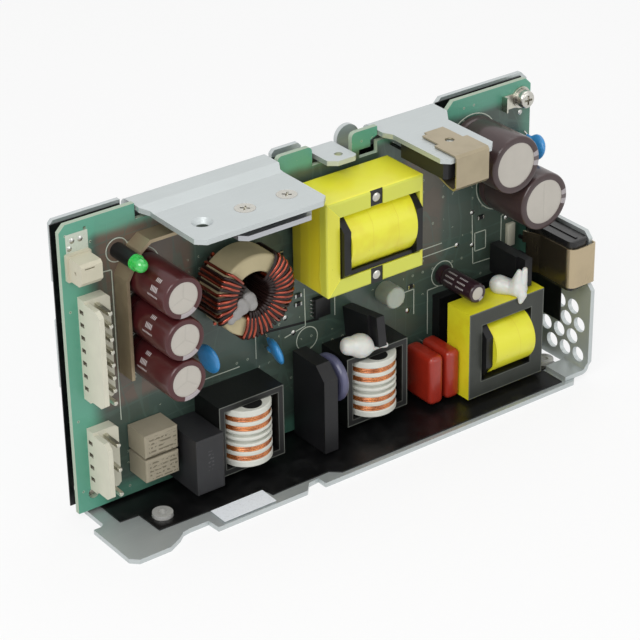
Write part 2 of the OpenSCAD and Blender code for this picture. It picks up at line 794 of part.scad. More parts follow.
boot_u = end_inner - 7.5;
boot_v = [clip_seat_v - 1, end_h - 1];
boot_back = 5;
boot_reach = floor_reach - 1.2;
boot_side = end_inner - film_t - 0.05;
cavity = [boot_u + 1.2, boot_side - 0.8, boot_v[0] + 1, boot_v[1] - 1.5];

module side_device() {
    mid = (cavity[2] + cavity[3]) / 2;
    color("dimgray") stand_up() {
        block(
            [cavity[0] + fit, cavity[2] + fit, boot_back + 1],
            [cavity[1] - fit, cavity[3] - fit, boot_reach - 1.6]
        );
        for (i = [-1, 0, 1]) block(
            [cavity[0] + 1, mid + i * 5.45 - 0.5, 0],
            [cavity[0] + 1.7, mid + i * 5.45 + 0.5, boot_back + 1 + eps]
        );
    }
}

module device_boot() {
    w = boot_side - boot_u;
    v = boot_v[1] - boot_v[0];
    color([0.1, 0.1, 0.1]) stand_up() difference() {
        union() {
            translate([boot_u, boot_v[0], boot_back]) intersection() {
                shelf(0, v) rounded(w, boot_reach - boot_back, 2.2);
                wall(0, w) rounded(v, boot_reach - boot_back, 1);
            }
            translate([boot_u + w / 2 - 0.4, boot_v[1] - 0.5, boot_back + 2])
                cube([0.8, 0.8, boot_reach - boot_back - 4]);
        }
        block(
            [cavity[0], cavity[2], boot_back - 1],
            [cavity[1], cavity[3], boot_reach - 1.5]
        );
    }
}

module spring_clip_side() {
    out_u = end_outer + clip_t / 2;
    mid_h = boot_reach + 0.2 + clip_t / 2;
    in_u = boot_u - 0.1 - clip_t / 2;
    color([0.66, 0.56, 0.42]) stand_up() difference() {
        shelf(clip_seat_v + 0.3, side_clip_w) strip(concat(
            [[out_u, 12]],
            arc([out_u - 0.8, mid_h - 0.8], 0.8, 0, 90, 3),
            arc([in_u + 2.2, mid_h - 2.2], 2.2, 90, 180, 6),
            [[in_u, 13], [in_u - 1.6, 9.5], [in_u - 2.2, 7.5]]
        ), clip_t);
        block([in_u - 4, clip_seat_v + 4, 5], [in_u - 1, clip_seat_v + side_clip_w - 3.4, 9]);
    }
}

// Pin headers with a lock wall along their left side

module header(pins, pitch, first, slots) {
    v0 = first - header_end;
    length = (pins - 1) * pitch + 2 * header_end;
    wall_t = 1.5;
    slot_pitch = length / (slots + 1);
    color("antiquewhite") stand_up() difference() {
        union() {
            translate([header_u, v0, 0]) linear_extrude(header_base_h) polygon([
                [0, 0], [header_w - 1, 0], [header_w, 1], [header_w, length - 1],
                [header_w - 1, length], [0, length]
            ]);
            shift = v0 + 0.8;
            wall(header_u, wall_t) polygon([
                [shift, 0], [shift, lock_h - 2], [shift + 1.5, lock_h],
                [shift + length - 3.1, lock_h], [shift + length - 1.6, lock_h - 2],
                [shift + length - 1.6, 0]
            ]);
        }
        for (i = [1:slots]) translate([header_u - 1, v0 + i * slot_pitch - 0.6, 1])
            cube([1.7, 1.2, 1.6]);
        for (i = [0:pins - 1]) translate([pin_u, first + i * pitch, -1])
            translate([-pin_side / 2, -pin_side / 2, 0]) cube([pin_side, pin_side, header_base_h + 2]);
    }
}

module pin_row(pins, pitch, first) {
    tail = 2.2;
    point = 0.5;
    color("silver") stand_up() for (i = [0:pins - 1]) translate([pin_u, first + i * pitch, 0]) {
        translate([-pin_side / 2, -pin_side / 2, board_back - tail])
            cube([pin_side, pin_side, pin_h - point + board_t + tail]);
        intersection() {
            translate([-pin_side / 2, -pin_side / 2, pin_h - point - eps])
                cube([pin_side, pin_side, point + eps]);
            for (a = [0, 90]) rotate([0, 0, a]) translate([0, pin_side / 2, 0]) rotate([90, 0, 0])
                linear_extrude(pin_side) polygon([
                    [-pin_side / 2, pin_h - point - eps], [pin_side / 2, pin_h - point - eps],
                    [pin_side / 2 - 0.25, pin_h], [-pin_side / 2 + 0.25, pin_h]
                ]);
        }
    }
}

module output_header() header(output_pin_count, pin_pitch, output_pin_v, output_pin_count - 1);
module output_pins() pin_row(output_pin_count, pin_pitch, output_pin_v);
module mains_header() header(mains_pin_count, 2 * pin_pitch, mains_pin_v, 2 * mains_pin_count - 2);
module mains_pins() pin_row(mains_pin_count, 2 * pin_pitch, mains_pin_v);

signal_base_h = 1.2;
plug_w = 6.6;
plug_v = 6.9;
plug_corner = [signal_place[0] - plug_w / 2, signal_place[1] - plug_v / 2];

module signal_header() {
    rim = 0.6;
    color("antiquewhite") stand_up() translate([plug_corner[0] - rim, plug_corner[1] - rim, 0])
        linear_extrude(signal_base_h) rounded(plug_w + 2 * rim, plug_v + 2 * rim, 0.5);
}

// Plug with a chamfered back, three wire slots on its right side and an eye on its left
module signal_plug() {
    rise = 6.4;
    cut = 0.8;
    back_cut = 1.6;
    slot = [1, 0.9, 0.9];
    color("antiquewhite") stand_up() translate(concat(plug_corner, signal_base_h)) difference() {
        wall(0, plug_w) polygon([
            [0, 0], [plug_v, 0], [plug_v, rise - cut], [plug_v - cut, rise],
            [back_cut, rise], [0, rise - back_cut]
        ]);
        for (i = [1:3]) translate([plug_w - slot[0] / 2, plug_v * i / 4 - slot[1] / 2, rise - 1.8])
            cube(slot);
        translate([-eps, plug_v / 2, rise / 2]) rotate([0, 90, 0]) cylinder(h = 1, r = 0.5);
        translate([1.2, plug_v - 1.6, rise - 0.6]) cube([3, 0.4, 1]);
    }
}

// Indicator lamp on a tube

module lamp_tube() {
    lead_bore = 2.2;
    color([0.12, 0.12, 0.12]) stand_up() translate([lamp_place[0], lamp_place[1], 0]) difference() {
        cylinder(h = lamp_tube_h, d = lamp_tube_d);
        translate([0, 0, -1]) cylinder(h = lamp_tube_h + 2, d = lead_bore);
    }
}

module lamp_lens() {
    body_h = 2.7;
    r = lamp_d / 2;
    rim = [r + 0.35, 0.9];
    lead = 0.45;
    color("limegreen") stand_up() translate([lamp_place[0], lamp_place[1], lamp_tube_h]) {
        rotate_extrude() polygon(concat(
            [[0, 0], [rim[0], 0], rim, [r, rim[1]], [r, body_h]],
            arc([0, body_h], r, 8, 90, 8)
        ));
        for (s = [-1, 1]) translate([s * 0.6 - lead / 2, -lead / 2, -lamp_tube_h])
            cube([lead, lead, lamp_tube_h + eps]);
    }
}

// Folded bus bar on edge
module bus_bar() {
    bar_t = 1;
    bar_h = 6.5;
    column = output_cap_place[0];
    color([0.72, 0.6, 0.45]) stand_up() flat(0, bar_h) strip([
        [column - 7.6, output_cap_place[1] - 4.1], [column - 7.6, board_top - 19],
        [column - 3, board_top - 11.5], [column + 0.2, board_top - 9.2], [column + 8.8, board_top - 9.2]
    ], bar_t);
}

// Capacitors

module can(place, d, h) {
    r = d / 2;
    rim = 0.17 * r + 0.5;
    edge = 0.7;
    foot = 0.5;
    crimp = 2.6;
    crimp_half = 0.9;
    recess = 0.3;
    color([0.33, 0.2, 0.19]) stand_up() translate([place[0], place[1], 0]) rotate_extrude() polygon(concat(
        [[0, 0], [r - foot, 0], [r, foot], [r, crimp - crimp_half], [r - 0.4, crimp]],
        [[r, crimp + crimp_half]],
        arc([r - edge, h - edge], edge, 0, 90, 4),
        [[r - rim, h], [r - rim, h - recess], [0, h - recess]]
    ));
}

output_cap_step = output_cap_d + 0.25;
module output_capacitor(i) can(output_cap_place + [0, i * output_cap_step], output_cap_d, output_cap_h);
module bulk_capacitor(i) can(bulk_cap_places[i], bulk_cap_d, bulk_cap_h);
module small_capacitor() can(small_cap_place, small_cap_d, small_cap_h);

// Moulded box with a chamfered front and two feet
function cut_section(w, h, cut) =
    [[0, 0], [w, 0], [w, h - cut], [w - cut, h], [cut, h], [0, h - cut]];
module moulded_box(w, v, h, cut) {
    foot = 0.4;
    translate([0, 0, foot]) intersection() {
        shelf(0, v) polygon(cut_section(w, h - foot, cut));
        wall(0, w) polygon(cut_section(v, h - foot, cut));
    }
    for (x = [0.6, w - 1.6]) translate([x, 0.6, 0]) cube([1, v - 1.2, foot + eps]);
}

box_cap_v = 17.8;
box_cap_u = choke_1_u - 0.6 - box_cap_w;
box_cap_bottom = 4.5;
module box_capacitor() {
    color([0.25, 0.25, 0.26]) stand_up() translate([box_cap_u, box_cap_bottom, 0])
        moulded_box(box_cap_w, box_cap_v, box_cap_front, 0.4);
}

module box_fuses() {
    bottom = 10.8;
    color([0.55, 0.51, 0.43]) stand_up() for (i = [0, 1])
        translate([box_cap_u - 2 - fuse_w, bottom + i * (fuse_v + 0.8), 0])
        moulded_box(fuse_w, fuse_v, fuse_front, 0.5);
}

module film_capacitors() {
    front = 15.2;
    back = 2.8;
    lead_pitch = 10;
    color([0.55, 0.16, 0.12]) stand_up() for (i = [0, 1])
        translate([film_cap_u + i * (film_cap_t + film_cap_gap), film_cap_bottom, 0]) {
            translate([0, 0, back]) pillow(film_cap_t, film_cap_v, front - back, 1.5);
            for (s = [-1, 1]) translate([film_cap_t / 2, (film_cap_v + s * lead_pitch) / 2, 0])
                cylinder(h = back + 1.6, r = 0.4);
        }
}

// Dipped disc that stands on two leads, leaning by an angle
module disc(place, r, t, lift, yaw, lean) {
    stand_up() translate([place[0], place[1], 0]) rotate([0, 0, yaw]) {
        translate([0, 0, lift]) rotate([lean, 0, 0]) translate([0, 0, r * 0.94]) rotate([90, 0, 0])
            rotate_extrude()
            polygon(concat([[0, -t / 2]], arc([r - t / 2, 0], t / 2, -90, 90, 8), [[0, t / 2]]));
        for (s = [-1, 1]) translate([s * r * 0.45, 0, 0]) cylinder(h = lift + 0.35 * r, r = 0.3);
    }
}

module disc_capacitor_1() color("steelblue") disc(disc_places[0], disc_r, disc_t, 1.6, 25, 8);
module disc_capacitor_2() color("steelblue") disc(disc_places[1], disc_r, disc_t, 1.4, 60, 12);
module disc_capacitor_3() color("steelblue") disc(disc_places[2], disc_r + 0.2, disc_t, 1.6, 90, 5);
module thermistor_disc() {
    color([0.37, 0.37, 0.48]) disc(thermistor_place, thermistor_r, thermistor_t, 2.2, 90, 2);
}

// Upright four lead package of the mains bridge
module bridge_rectifier() {
    span = [3.2, 31.2];
    lift = 2.2;
    cut = 4;
    lead_pitch = 7.3;
    color([0.16, 0.16, 0.16]) stand_up() {
        wall(bridge_u, bridge_t) polygon([
            [span[0], lift], [span[1], lift], [span[1], bridge_front - cut],
            [span[1] - cut, bridge_front], [span[0], bridge_front]
        ]);
        for (i = [0:3]) translate([bridge_u + bridge_t / 2, span[0] + 3 + i * lead_pitch, 0])
            cylinder(h = lift + 0.8, r = 0.6);
    }
}

diode_1 = [choke_2_u + 7.7, choke_bottom + choke_v + 0.7];
diode_1_lean = 8;
diode_2 = [aux_u + 22.7, aux_bottom + aux_v + 0.8];
diode_t = 3.6;
diode_v = 9.4;
diode_front = 17;

// Package that stands on three leads, its broad side across the board, leaning up the board by an angle
module standing_package(place, lean) {
    tab = 3.4;
    lift = 1.6;
    lead = [0.6, 0.8];
    color([0.13, 0.13, 0.14]) stand_up() translate([place[0], place[1], 0]) {
        rotate([-lean, 0, 0]) {
            block([0, 0, lift], [diode_t, diode_v, diode_front - tab]);
            block([0.8, 0, diode_front - tab - eps], [diode_t, diode_v, diode_front]);
        }
        for (i = [-1, 0, 1]) translate([(diode_t - lead[0]) / 2, (diode_v - lead[1]) / 2 + 2.54 * i, 0])
            cube([lead[0], lead[1], lift + 0.4]);
    }
}

module diode_package_1() standing_package(diode_1, diode_1_lean);
module diode_package_2() standing_package(diode_2, 0);

module nylon_spacer() {
    r = 3.5;
    h = 6;
    edge = 0.8;
    color("whitesmoke") stand_up() translate([spacer_place[0], spacer_place[1], 0]) rotate_extrude()
        polygon(concat([[0, 0], [r, 0]], arc([r - edge, h - edge], edge, 0, 90, 4), [[0, h]]));
}

// Cured silicone drawn out along the top of the right choke, with a waist and a tapered tail
module silicone_bead() {
    seat = choke_bottom + choke_v + press_gap;
    start = [choke_2_u - 1.2, seat + 4.3, choke_front - 1.5];
    color("whitesmoke") stand_up() difference() {
        translate(start) rotate([0, 71.5, -8.7]) rotate_extrude()
            polygon([
                [0, 0], [1.8, 0.3], [2.5, 1.2], [2.8, 2.4], [2.8, 3.2], [3.3, 4.2], [3.7, 5.6],
                [3.6, 7.2], [2.9, 8.6], [1.9, 9.8], [1.2, 11.2], [0.9, 12.8], [0.9, 14.2],
                [0.5, 14.8], [0, 14.9]
            ]);
        block([start[0] - 6, seat - 10, 0], [start[0] + 26, seat, choke_front + 12]);
        translate([diode_1[0], diode_1[1], 0]) rotate([-diode_1_lean, 0, 0])
            block([-press_gap, -press_gap, 0], [diode_t + press_gap, diode_v, diode_front + press_gap]);
    }
}

// Toroid choke: a coated ring core and two runs of one wire wound round it

ring_lift = 2.5;
wire_gap = 0.15;
wire_off = wire_gap + wire_d / 2;
loop_in = ring_ir - wire_off;
loop_out = ring_or + wire_off;
loop_low = ring_lift - wire_off;
loop_high = ring_lift + ring_h + wire_off;
loop_r = 1.2;
loop_steps = 3;
turn_step = 2 * asin((wire_d + turn_gap) / 2 / loop_in);

// One turn in (radius, height), from the outside down, under, up through the ring and over it
loop_points = concat(
    arc([loop_out - loop_r, loop_low + loop_r], loop_r, 0, -90, loop_steps),
    arc([loop_in + loop_r, loop_low + loop_r], loop_r, -90, -180, loop_steps),
    arc([loop_in + loop_r, loop_high - loop_r], loop_r, 180, 90, loop_steps),
    arc([loop_out - loop_r, loop_high - loop_r], loop_r, 90, 0, loop_steps)
);
loop_count = len(loop_points);

function on_ring(p, a) = [p[0] * cos(a), p[0] * sin(a), p[1]];
function run_path(from, turns) = concat(
    [on_ring([loop_out, 0], from)],
    [
        for (i = [0:turns * loop_count - 1])
            on_ring(loop_points[i % loop_count], from + turn_step * i / loop_count)
    ],
    [for (z = [loop_low + loop_r, 0]) on_ring([loop_out, z], from + turn_step * turns)]
);

// Sweeps a round section along a path, keeping the section's first axis near the ring's own tangent
module wire(path, d, sides) {
    n = len(path);
    function ahead(i) = unit(path[min(i + 1, n - 1)] - path[max(i - 1, 0)]);
    function section(i) =
        let(
            t = ahead(i),
            round = [-path[i][1], path[i][0], 0],
            a = unit(round - t * (round * t)),
            b = cross(t, a)
        )
        [for (k = [0:sides - 1]) path[i] + d / 2 * (cos(360 * k / sides) * a + sin(360 * k / sides) * b)];
    points = [for (i = [0:n - 1]) each section(i)];
    sides_faces = [
        for (i = [0:n - 2], k = [0:sides - 1])
            let(next = (k + 1) % sides)
            [i * sides + k, (i + 1) * sides + k, (i + 1) * sides + next, i * sides + next]
    ];
    ends = [[for (k = [0:sides - 1]) k], [for (k = [sides - 1:-1:0]) (n - 1) * sides + k]];
    polyhedron(points, concat(sides_faces, ends));
}

module toroid_core() {
    edge = 0.8;
    w = ring_or - ring_ir;
    color("cornsilk") stand_up() translate([toroid_place[0], toroid_place[1], ring_lift])
        rotate_extrude() translate([ring_ir, 0]) rounded(w, ring_h, edge);
}

module toroid_winding() {
    left_from = 124;
    left_span = 78;
    right_from = 238;
    right_span = 172;
    color([0.72, 0.3, 0.18]) stand_up() translate([toroid_place[0], toroid_place[1], 0]) {
        wire(run_path(left_from, floor(left_span / turn_step)), wire_d, 6);
        wire(run_path(right_from, floor(right_span / turn_step)), wire_d, 6);
    }
}

// Adhesive that fixes the ring: a plug in its eye down to the board
module toroid_adhesive() {
    eye = loop_in - wire_d / 2 - 0.25;
    color("gray") stand_up() translate([toroid_place[0] - 0.4, toroid_place[1] - 1, 0])
        rotate_extrude() polygon([[0, 0], [eye - 1, 0], [eye - 1.2, 9], [eye - 2, 10.6], [0, 11.4]]);
}

// Main transformer: taped ferrite frame, black bobbin and a taped barrel along u

barrel_wall = 3;
barrel_play = 0.02;
main_window = [main_u + 4.5, main_u + main_w - 1.6, main_bottom + 5.1, main_bottom + main_v - 5];
main_back = 1.5;
main_axis = [(main_window[2] + main_window[3]) / 2, (main_back + main_front) / 2];
barrel_u = [main_u + 7.2, main_u + main_w - 4];

module main_core() {
    edge = 0.9;
    notch_u = main_u + 15.4;
    notch = [4.4, 6.2];
    color([0.85, 0.84, 0.25]) stand_up() difference() {
        translate([main_u, main_bottom, main_back])
            pillow(main_w, main_v, main_front - main_back, edge);
        block(
            [main_window[0], main_window[2], main_back - 1],
            [main_window[1], main_window[3], main_front + 1]
        );
        for (v = [main_bottom - 1, main_window[3] - eps])
            block([notch_u, v, main_front - 0.3], [notch_u + notch[0], v + notch[1], main_front + 1]);
    }
}

// Barrel tube with proud end flanges that stand on the board and a front rail below the barrel
module main_bobbin() {
    inset = 0.25;
    flange_front = main_front + 1.7;
    cut = 4.5;
    low_cut = 1.7;
    rail = [main_front - 1.3, main_front - 0.2];
    tube_r = main_barrel_r - barrel_wall;
    color([0.09, 0.09, 0.09]) stand_up() {
        for (u = [[main_window[0] + inset, barrel_u[0]], [barrel_u[1], main_window[1] - inset]])
            wall(u[0], u[1] - u[0]) polygon([
                [main_window[2] + inset, 0], [main_window[3] - inset, 0],
                [main_window[3] - inset, flange_front - cut], [main_window[3] - cut, flange_front],
                [main_window[2] + low_cut, flange_front], [main_window[2] + inset, flange_front - low_cut]
            ]);
        wall(barrel_u[0] - eps, barrel_u[1] - barrel_u[0] + 2 * eps) translate(main_axis) circle(tube_r);
        block(
            [barrel_u[0] - eps, main_window[2] + inset, rail[0]],
            [barrel_u[1] + eps, main_window[2] + 1.5, rail[1]]
        );
    }
}

module main_winding() {
    color([0.88, 0.87, 0.3]) stand_up()
        wall(barrel_u[0] + press_gap, barrel_u[1] - barrel_u[0] - 2 * press_gap)
        intersection() {
            difference() {
                translate(main_axis) circle(main_barrel_r);
                translate(main_axis) circle(main_barrel_r - barrel_wall + barrel_play);
            }
            translate([main_window[2] + fit, 0.3])
                square([main_window[3] - main_window[2] - 2 * fit, 3 * main_front]);
        }
}

// Auxiliary transformer: ferrite frame with tape round its rim

aux_back = 9;
aux_bar = 4.9;
aux_window = [
    aux_u + aux_bar, aux_u + aux_w - aux_bar, aux_bottom + aux_bar, aux_bottom + aux_v - aux_bar
];
aux_axis = [(aux_window[2] + aux_window[3]) / 2, (aux_back + aux_front) / 2];
aux_barrel_u = [aux_window[0] + 2.8, aux_window[1] - 1.2];

module aux_core() {
    color([0.32, 0.33, 0.33]) stand_up() difference() {
        block([aux_u, aux_bottom, aux_back], [aux_u + aux_w, aux_bottom + aux_v, aux_front]);
        block([aux_window[0], aux_window[2], aux_back - 1], [aux_window[1], aux_window[3], aux_front + 1]);
    }
}

module aux_bobbin() {
    inset = 0.25;
    proud = 3;
    foot = 3.4;
    base_in = 1.4;
    tube_r = aux_barrel_r - barrel_wall;
    cut = 5;
    top = aux_front + proud;
    color([0.09, 0.09, 0.09]) stand_up() {
        block(
            [aux_u + base_in, aux_bottom + base_in, 0],
            [aux_u + aux_w - base_in, aux_bottom + aux_v - base_in, foot]
        );
        wall(aux_window[0] + inset, aux_barrel_u[0] - aux_window[0] - inset) polygon([
            [aux_window[2] + inset, foot - eps], [aux_window[3] - inset, foot - eps],
            [aux_window[3] - inset, top - cut], [aux_window[3] - cut + 1, top - 1.2],
            [aux_window[2] + cut, top - 1.2], [aux_window[2] + inset, top - cut]
        ]);
        wall(aux_barrel_u[1], aux_window[1] - inset - aux_barrel_u[1]) polygon([
            [aux_window[2] + inset, foot - eps], [aux_window[3] - inset, foot - eps],
            [aux_window[3] - inset, aux_front - 3], [aux_window[3] - 3, aux_front],
            [aux_window[2] + 3, aux_front], [aux_window[2] + inset, aux_front - 3]
        ]);
        wall(aux_barrel_u[0] - eps, aux_barrel_u[1] - aux_barrel_u[0] + 2 * eps)
            translate(aux_axis) circle(tube_r);
    }
}

module aux_winding() {
    color([0.88, 0.87, 0.3]) stand_up()
        wall(aux_barrel_u[0] + press_gap, aux_barrel_u[1] - aux_barrel_u[0] - 2 * press_gap)
        intersection() {
            difference() {
                translate(aux_axis) circle(aux_barrel_r);
                translate(aux_axis) circle(aux_barrel_r - barrel_wall + barrel_play);
            }
            translate([aux_window[2] + fit, 4])
                square([aux_window[3] - aux_window[2] - 2 * fit, 2 * aux_front]);
        }
}

// Cured silicone on top of the auxiliary transformer: two lobes, two drawn-up tips and a drip
// over the edge, each the skin over two balls given as (u, v, h, radius) from the frame's upper corner
module lump(from, to) {
    hull() for (e = [from, to]) translate([e[0], e[1], e[2]]) sphere(e[3], $fn = 20);
}

module aux_adhesive() {
    top = aux_bottom + aux_v;
    seam = [19.1, 1.8, aux_front - 4.1, 2.6];
    color("whitesmoke") stand_up() difference() {
        translate([aux_u, top, 0]) {
            lump([17.1, 2.3, aux_front - 6.8, 3.1], seam);
            lump([20.3, 2.2, aux_front - 1.9, 3], seam);
            lump([20, 4, aux_front - 1.9, 2], [20.3, 7.9, aux_front - 1.5, 0.75]);
            lump([21.3, 3.8, aux_front - 1.6, 1.9], [22.4, 8, aux_front - 1.2, 0.8]);
            lump([20.1, 0.8, aux_front + 0.1, 1.7], [19.3, -1.2, aux_front + 0.5, 0.8]);
        }
        block([aux_u - 5, aux_bottom - 10, 0], [aux_u + aux_w + 5, top + fit, aux_front + fit]);
        block(
            [diode_2[0] - press_gap, top - 4, 0],
            [diode_2[0] + diode_t + press_gap, top + 20, diode_front + press_gap]
        );
    }
}

// Common mode chokes: ferrite frame with a round leg, four slot bobbin and four wound slots

choke_bar = 2;
choke_axis_h = 8.8;
leg_r = 3.2;
spool_bore = leg_r + 0.15;
spool_core_r = leg_r + 1.2;
spool_gap = 0.2;
spool_v = choke_v - 2 * choke_bar - 2 * spool_gap;
thin = 1.4;
end_flange = 2.1;
middle_flange_w = spool_v - 2 * end_flange - 4 * slot_w - 2 * thin;

// Lower edge of each wound slot, measured along the bobbin
slot_starts = [
    end_flange,
    end_flange + slot_w + thin,
    end_flange + 2 * slot_w + thin + middle_flange_w,
    end_flange + 3 * slot_w + 2 * thin + middle_flange_w
];

module choke_core(u) {
    leg_u = u + choke_w / 2;
    color([0.3, 0.3, 0.3]) stand_up() {
        difference() {
            block([u, choke_bottom, 0], [u + choke_w, choke_bottom + choke_v, choke_front]);
            block(
                [u + choke_bar, choke_bottom + choke_bar, -1],
                [u + choke_w - choke_bar, choke_bottom + choke_v - choke_bar, choke_front + 1]
            );
        }
        drop(leg_u, choke_bottom + choke_v - 1, choke_axis_h, leg_r, choke_v - 2);
    }
}

// Stands a bobbin drawn along its own axis up on a choke's leg
module on_leg(u) {
    stand_up() translate([u + choke_w / 2, choke_bottom + choke_bar + spool_gap, choke_axis_h])
        rotate([-90, 0, 0]) children();
}

module choke_bobbin(u) {
    groove = middle_flange_w / 5;
    middle = end_flange + 2 * slot_w + thin;
    color("whitesmoke") on_leg(u) difference() {
        cylinder(h = spool_v, r = spool_r);
        translate([0, 0, -1]) cylinder(h = spool_v + 2, r = spool_bore);
        for (s = slot_starts) translate([0, 0, s]) difference() {
            cylinder(h = slot_w, r = spool_r + 1);
            translate([0, 0, -1]) cylinder(h = slot_w + 2, r = spool_core_r);
        }
        for (i = [1, 3]) translate([0, 0, middle + i * groove]) difference() {
            cylinder(h = groove, r = spool_r + 1);
            translate([0, 0, -1]) cylinder(h = groove + 2, r = spool_r - 1.4);
        }
        translate([0, -spool_r, spool_v - end_flange / 2]) cylinder(h = end_flange, r = 3);
    }
}

module choke_winding(u) {
    strand = slot_w / 2;
    play = 0.03;
    wound_r = spool_r - 0.9;
    color([0.78, 0.43, 0.24]) on_leg(u)
        for (s = slot_starts) translate([0, 0, s]) rotate_extrude() {
            translate([spool_core_r + play, play])
                square([wound_r - strand / 2 - spool_core_r, slot_w - 2 * play]);
            for (k = [0, 1]) translate([wound_r - strand / 2, strand * (k + 0.5)])
                circle(r = strand / 2 - play, $fn = 16);
        }
}

chassis();
insulating_sheet();
standoffs();
circuit_board();
ground_screw();
spring_washer();
flat_washer();
ground_lug();
clinch_nuts();
clamp_screws();
clamp_plate();
rectifiers();
power_switch();
spring_clip_top();
spring_clip_side();
side_device();
device_boot();
output_header();
output_pins();
mains_header();
mains_pins();
signal_header();
signal_plug();
lamp_tube();
lamp_lens();
bus_bar();
for (i = [0:2]) output_capacitor(i);
for (i = [0:1]) bulk_capacitor(i);
small_capacitor();
box_capacitor();
box_fuses();
film_capacitors();
disc_capacitor_1();
disc_capacitor_2();
disc_capacitor_3();
thermistor_disc();
bridge_rectifier();
diode_package_1();
diode_package_2();
nylon_spacer();
silicone_bead();
toroid_core();
toroid_winding();
toroid_adhesive();
main_core();
main_bobbin();
main_winding();
aux_core();
aux_bobbin();
aux_winding();
aux_adhesive();
choke_core(choke_1_u);  // choke_1_core
choke_bobbin(choke_1_u);  // choke_1_bobbin
choke_winding(choke_1_u);  // choke_1_winding
choke_core(choke_2_u);  // choke_2_core
choke_bobbin(choke_2_u);  // choke_2_bobbin
choke_winding(choke_2_u);  // choke_2_winding
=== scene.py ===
"""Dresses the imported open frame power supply: a finish for every node, and detailed pieces on its frame."""

import logging
import math
from dataclasses import dataclass
from enum import Enum
from typing import Iterable, Sequence, Union

import bmesh
import bpy
from mathutils import Matrix, Vector


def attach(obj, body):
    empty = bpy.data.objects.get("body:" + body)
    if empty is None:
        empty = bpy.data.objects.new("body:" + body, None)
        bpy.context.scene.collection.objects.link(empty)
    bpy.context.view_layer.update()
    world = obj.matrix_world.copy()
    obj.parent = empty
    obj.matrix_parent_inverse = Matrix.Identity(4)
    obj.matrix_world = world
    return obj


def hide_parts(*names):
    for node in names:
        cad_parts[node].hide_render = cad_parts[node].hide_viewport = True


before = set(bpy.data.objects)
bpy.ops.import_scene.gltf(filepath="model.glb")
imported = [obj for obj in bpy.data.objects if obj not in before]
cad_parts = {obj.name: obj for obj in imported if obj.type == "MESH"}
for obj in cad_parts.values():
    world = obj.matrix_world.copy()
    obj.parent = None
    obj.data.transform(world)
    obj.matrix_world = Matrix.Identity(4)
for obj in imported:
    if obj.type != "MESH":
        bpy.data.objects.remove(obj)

LOG = logging.getLogger("power_supply")
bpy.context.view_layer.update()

Flat = tuple[float, float]
Point = tuple[float, float, float]
Colour = tuple[float, float, float]

# Turns (along the board, up the board, off its face) in millimetres into the row frame in metres
MM = 1000
MIDDLE_U, MIDDLE_H = 84.55, 10.9
STAND = Matrix((
    (1 / MM, 0, 0, -MIDDLE_U / MM),
    (0, 0, -1 / MM, MIDDLE_H / MM),
    (0, 1 / MM, 0, 0),
    (0, 0, 0, 1),
))


def rgb(red: float, green: float, blue: float) -> Colour:
    """Turns a colour as it is seen into the linear colour that Blender works in.

    Args:
        red: Red part, 0 to 255.
        green: Green part.
        blue: Blue part.

    Returns:
        The three linear parts.
    """
    parts = (red / 255, green / 255, blue / 255)
    return tuple(p / 12.92 if p <= 0.04045 else ((p + 0.055) / 1.055) ** 2.4 for p in parts)


class Axis(Enum):
    """A direction of the board frame: its number in the row frame, its sign there and its offset."""

    ALONG = (0, 1, MIDDLE_U)
    UP = (2, 1, 0.0)
    OFF = (1, -1, MIDDLE_H)


class Signal:
    """One output of a material's nodes, for shader maths written as plain expressions."""

    def __init__(self, paint: "Paint", socket: bpy.types.NodeSocket) -> None:
        """Wraps an output of a paint's nodes."""
        self.paint, self.socket = paint, socket

    def __add__(self, other: "Value") -> "Signal":
        """Returns self + other."""
        return self.paint.math("ADD", self, other)

    __radd__ = __add__

    def __sub__(self, other: "Value") -> "Signal":
        """Returns self - other."""
        return self.paint.math("SUBTRACT", self, other)

    def __rsub__(self, other: "Value") -> "Signal":
        """Returns other - self."""
        return self.paint.math("SUBTRACT", other, self)

    def __mul__(self, other: "Value") -> "Signal":
        """Returns self * other."""
        return self.paint.math("MULTIPLY", self, other)

    __rmul__ = __mul__

    def __abs__(self) -> "Signal":
        """Returns the value without its sign."""
        return self.paint.math("ABSOLUTE", self)

    def wrapped(self, period: float) -> "Signal":
        """Returns the value counted from 0 again after each period."""
        return self.paint.math("FLOORED_MODULO", self, period)

    def least(self, other: "Value") -> "Signal":
        """Returns the lesser of both values."""
        return self.paint.math("MINIMUM", self, other)

    def most(self, other: "Value") -> "Signal":
        """Returns the greater of both values."""
        return self.paint.math("MAXIMUM", self, other)

    def above(self, edge: float, soft: float = 0.05) -> "Signal":
        """Turns the value into a mask that is 1 above an edge and 0 below it.

        Args:
            edge: The edge.
            soft: Width over which it changes.

        Returns:
            The mask.
        """
        return self.paint.signal(
            "ShaderNodeMapRange", {"interpolation_type": "SMOOTHSTEP"},
            {"Value": self, "From Min": edge - soft / 2, "From Max": edge + soft / 2}, "Result",
        )

    def between(self, low: float, high: float, soft: float = 0.05) -> "Signal":
        """Returns 1 between two edges and 0 elsewhere, each edge as soft as in above."""
        return self.above(low, soft) * (1 - self.above(high, soft))


Value = Union[Signal, float]
Shade = Union[Signal, Colour]


